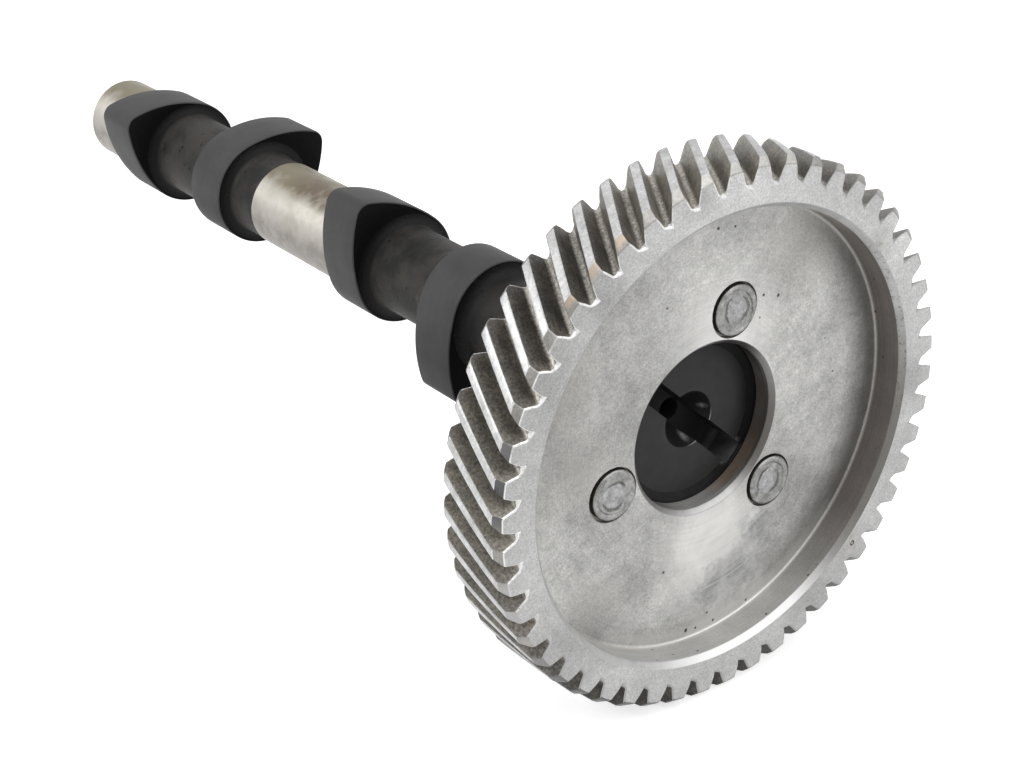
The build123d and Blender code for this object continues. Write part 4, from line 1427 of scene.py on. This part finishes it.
def make_floor(stage):
    """Pale floor that stays white to the camera and keeps a soft shadow."""
    half = stage.floor_size / 2
    z = stage.floor_height
    corners = [(-half, -half, z), (half, -half, z), (half, half, z), (-half, half, z)]
    mesh = bpy.data.meshes.new("floor")
    mesh.from_pydata(corners, [], [(0, 1, 2, 3)])
    floor = bpy.data.objects.new("floor", mesh)
    bpy.context.scene.collection.objects.link(floor)
    material = bpy.data.materials.new("floor_paint")
    material.use_nodes = True
    tree = material.node_tree
    shader = tree.nodes["Principled BSDF"]
    shader.inputs["Base Color"].default_value = (0.8, 0.8, 0.8, 1)
    shader.inputs["Roughness"].default_value = 0.9
    shader.inputs["Specular IOR Level"].default_value = 0.0
    shader.inputs["Emission Color"].default_value = (1, 1, 1, 1)
    seen, _ = see_white(tree, 0)
    glow = tree.nodes.new("ShaderNodeMath")
    glow.operation = "MULTIPLY"
    glow.inputs[1].default_value = stage.floor_glow
    tree.links.new(seen, glow.inputs[0])
    tree.links.new(glow.outputs[0], shader.inputs["Emission Strength"])
    mesh.materials.append(material)


def make_lamp(name, power, size, place, target):
    """Large soft lamp that looks at a point."""
    lamp = bpy.data.lights.new(name, "AREA")
    lamp.shape = "DISK"
    lamp.size = size
    lamp.energy = power
    obj = bpy.data.objects.new(name, lamp)
    obj.location = place
    away = obj.location - target
    obj.rotation_euler = away.to_track_quat("Z", "Y").to_euler()
    bpy.context.scene.collection.objects.link(obj)
    return obj


class BuildStage(bpy.types.Operator):
    """Pale floor, white surroundings, soft lamps and the camera"""
    bl_idname = "camshaft.build_stage"
    bl_label = "Build stage"

    def execute(self, context):
        scene = context.scene
        stage = scene.stage_settings
        scene.view_settings.view_transform = "Standard"
        make_floor(stage)
        world = bpy.data.worlds.new("white_surroundings")
        world.use_nodes = True
        background = world.node_tree.nodes["Background"]
        background.inputs["Color"].default_value = (1, 1, 1, 1)
        _, level = see_white(world.node_tree, stage.room_light)
        world.node_tree.links.new(level, background.inputs["Strength"])
        scene.world = world
        centre = (cad_box[0] + cad_box[1]) / 2
        make_lamp("key_lamp", stage.key_power, stage.key_size, (0.4, -0.5, 1.0), centre)
        make_lamp("fill_lamp", stage.fill_power, stage.fill_size, (-0.75, 0.42, 0.55), centre)
        camera = bpy.data.objects.new("camera", bpy.data.cameras.new("camera"))
        camera.data.lens = stage.camera_lens
        camera.data.clip_start, camera.data.clip_end = 0.01, 20
        camera.location = stage.camera_place
        camera.rotation_euler = (math.pi / 2 - stage.camera_elevation, 0, stage.camera_azimuth)
        scene.collection.objects.link(camera)
        scene.camera = camera
        return {"FINISHED"}


class CamshaftPanel(bpy.types.Panel):
    """Sizes, colours and steps of the camshaft"""
    bl_idname = "VIEW3D_PT_camshaft"
    bl_label = "Camshaft"
    bl_space_type = "VIEW_3D"
    bl_region_type = "UI"
    bl_category = "Camshaft"

    def draw(self, context):
        for title, group in GROUPS.items():
            box = self.layout.box()
            box.label(text=title.replace("_", " ").capitalize())
            settings = getattr(context.scene, title)
            for name in group.__annotations__:
                box.prop(settings, name)
        for step in STEPS:
            self.layout.operator(step.bl_idname)


GROUPS = {"shaft_sizes": ShaftSizes, "lobe_sizes": LobeSizes, "drive_end_sizes": DriveEndSizes,
          "gear_sizes": GearSizes, "rivet_sizes": RivetSizes, "finishes": Finishes,
          "stage_settings": StageSettings}
STEPS = (BuildShaft, BuildGear, BuildRivets, BuildStage)


def register():
    """Adds the settings, steps and panel to Blender."""
    for item in (*GROUPS.values(), *STEPS, CamshaftPanel):
        bpy.utils.register_class(item)
    for title, group in GROUPS.items():
        setattr(bpy.types.Scene, title, PointerProperty(type=group))


def unregister():
    """Takes them out again."""
    for title in GROUPS:
        delattr(bpy.types.Scene, title)
    for item in (CamshaftPanel, *STEPS, *GROUPS.values()):
        bpy.utils.unregister_class(item)


def main():
    """Builds everything in order."""
    register()
    bpy.ops.camshaft.build_shaft()
    bpy.ops.camshaft.build_gear()
    bpy.ops.camshaft.build_rivets()
    bpy.ops.camshaft.build_stage()


if __name__ == "__main__":
    main()
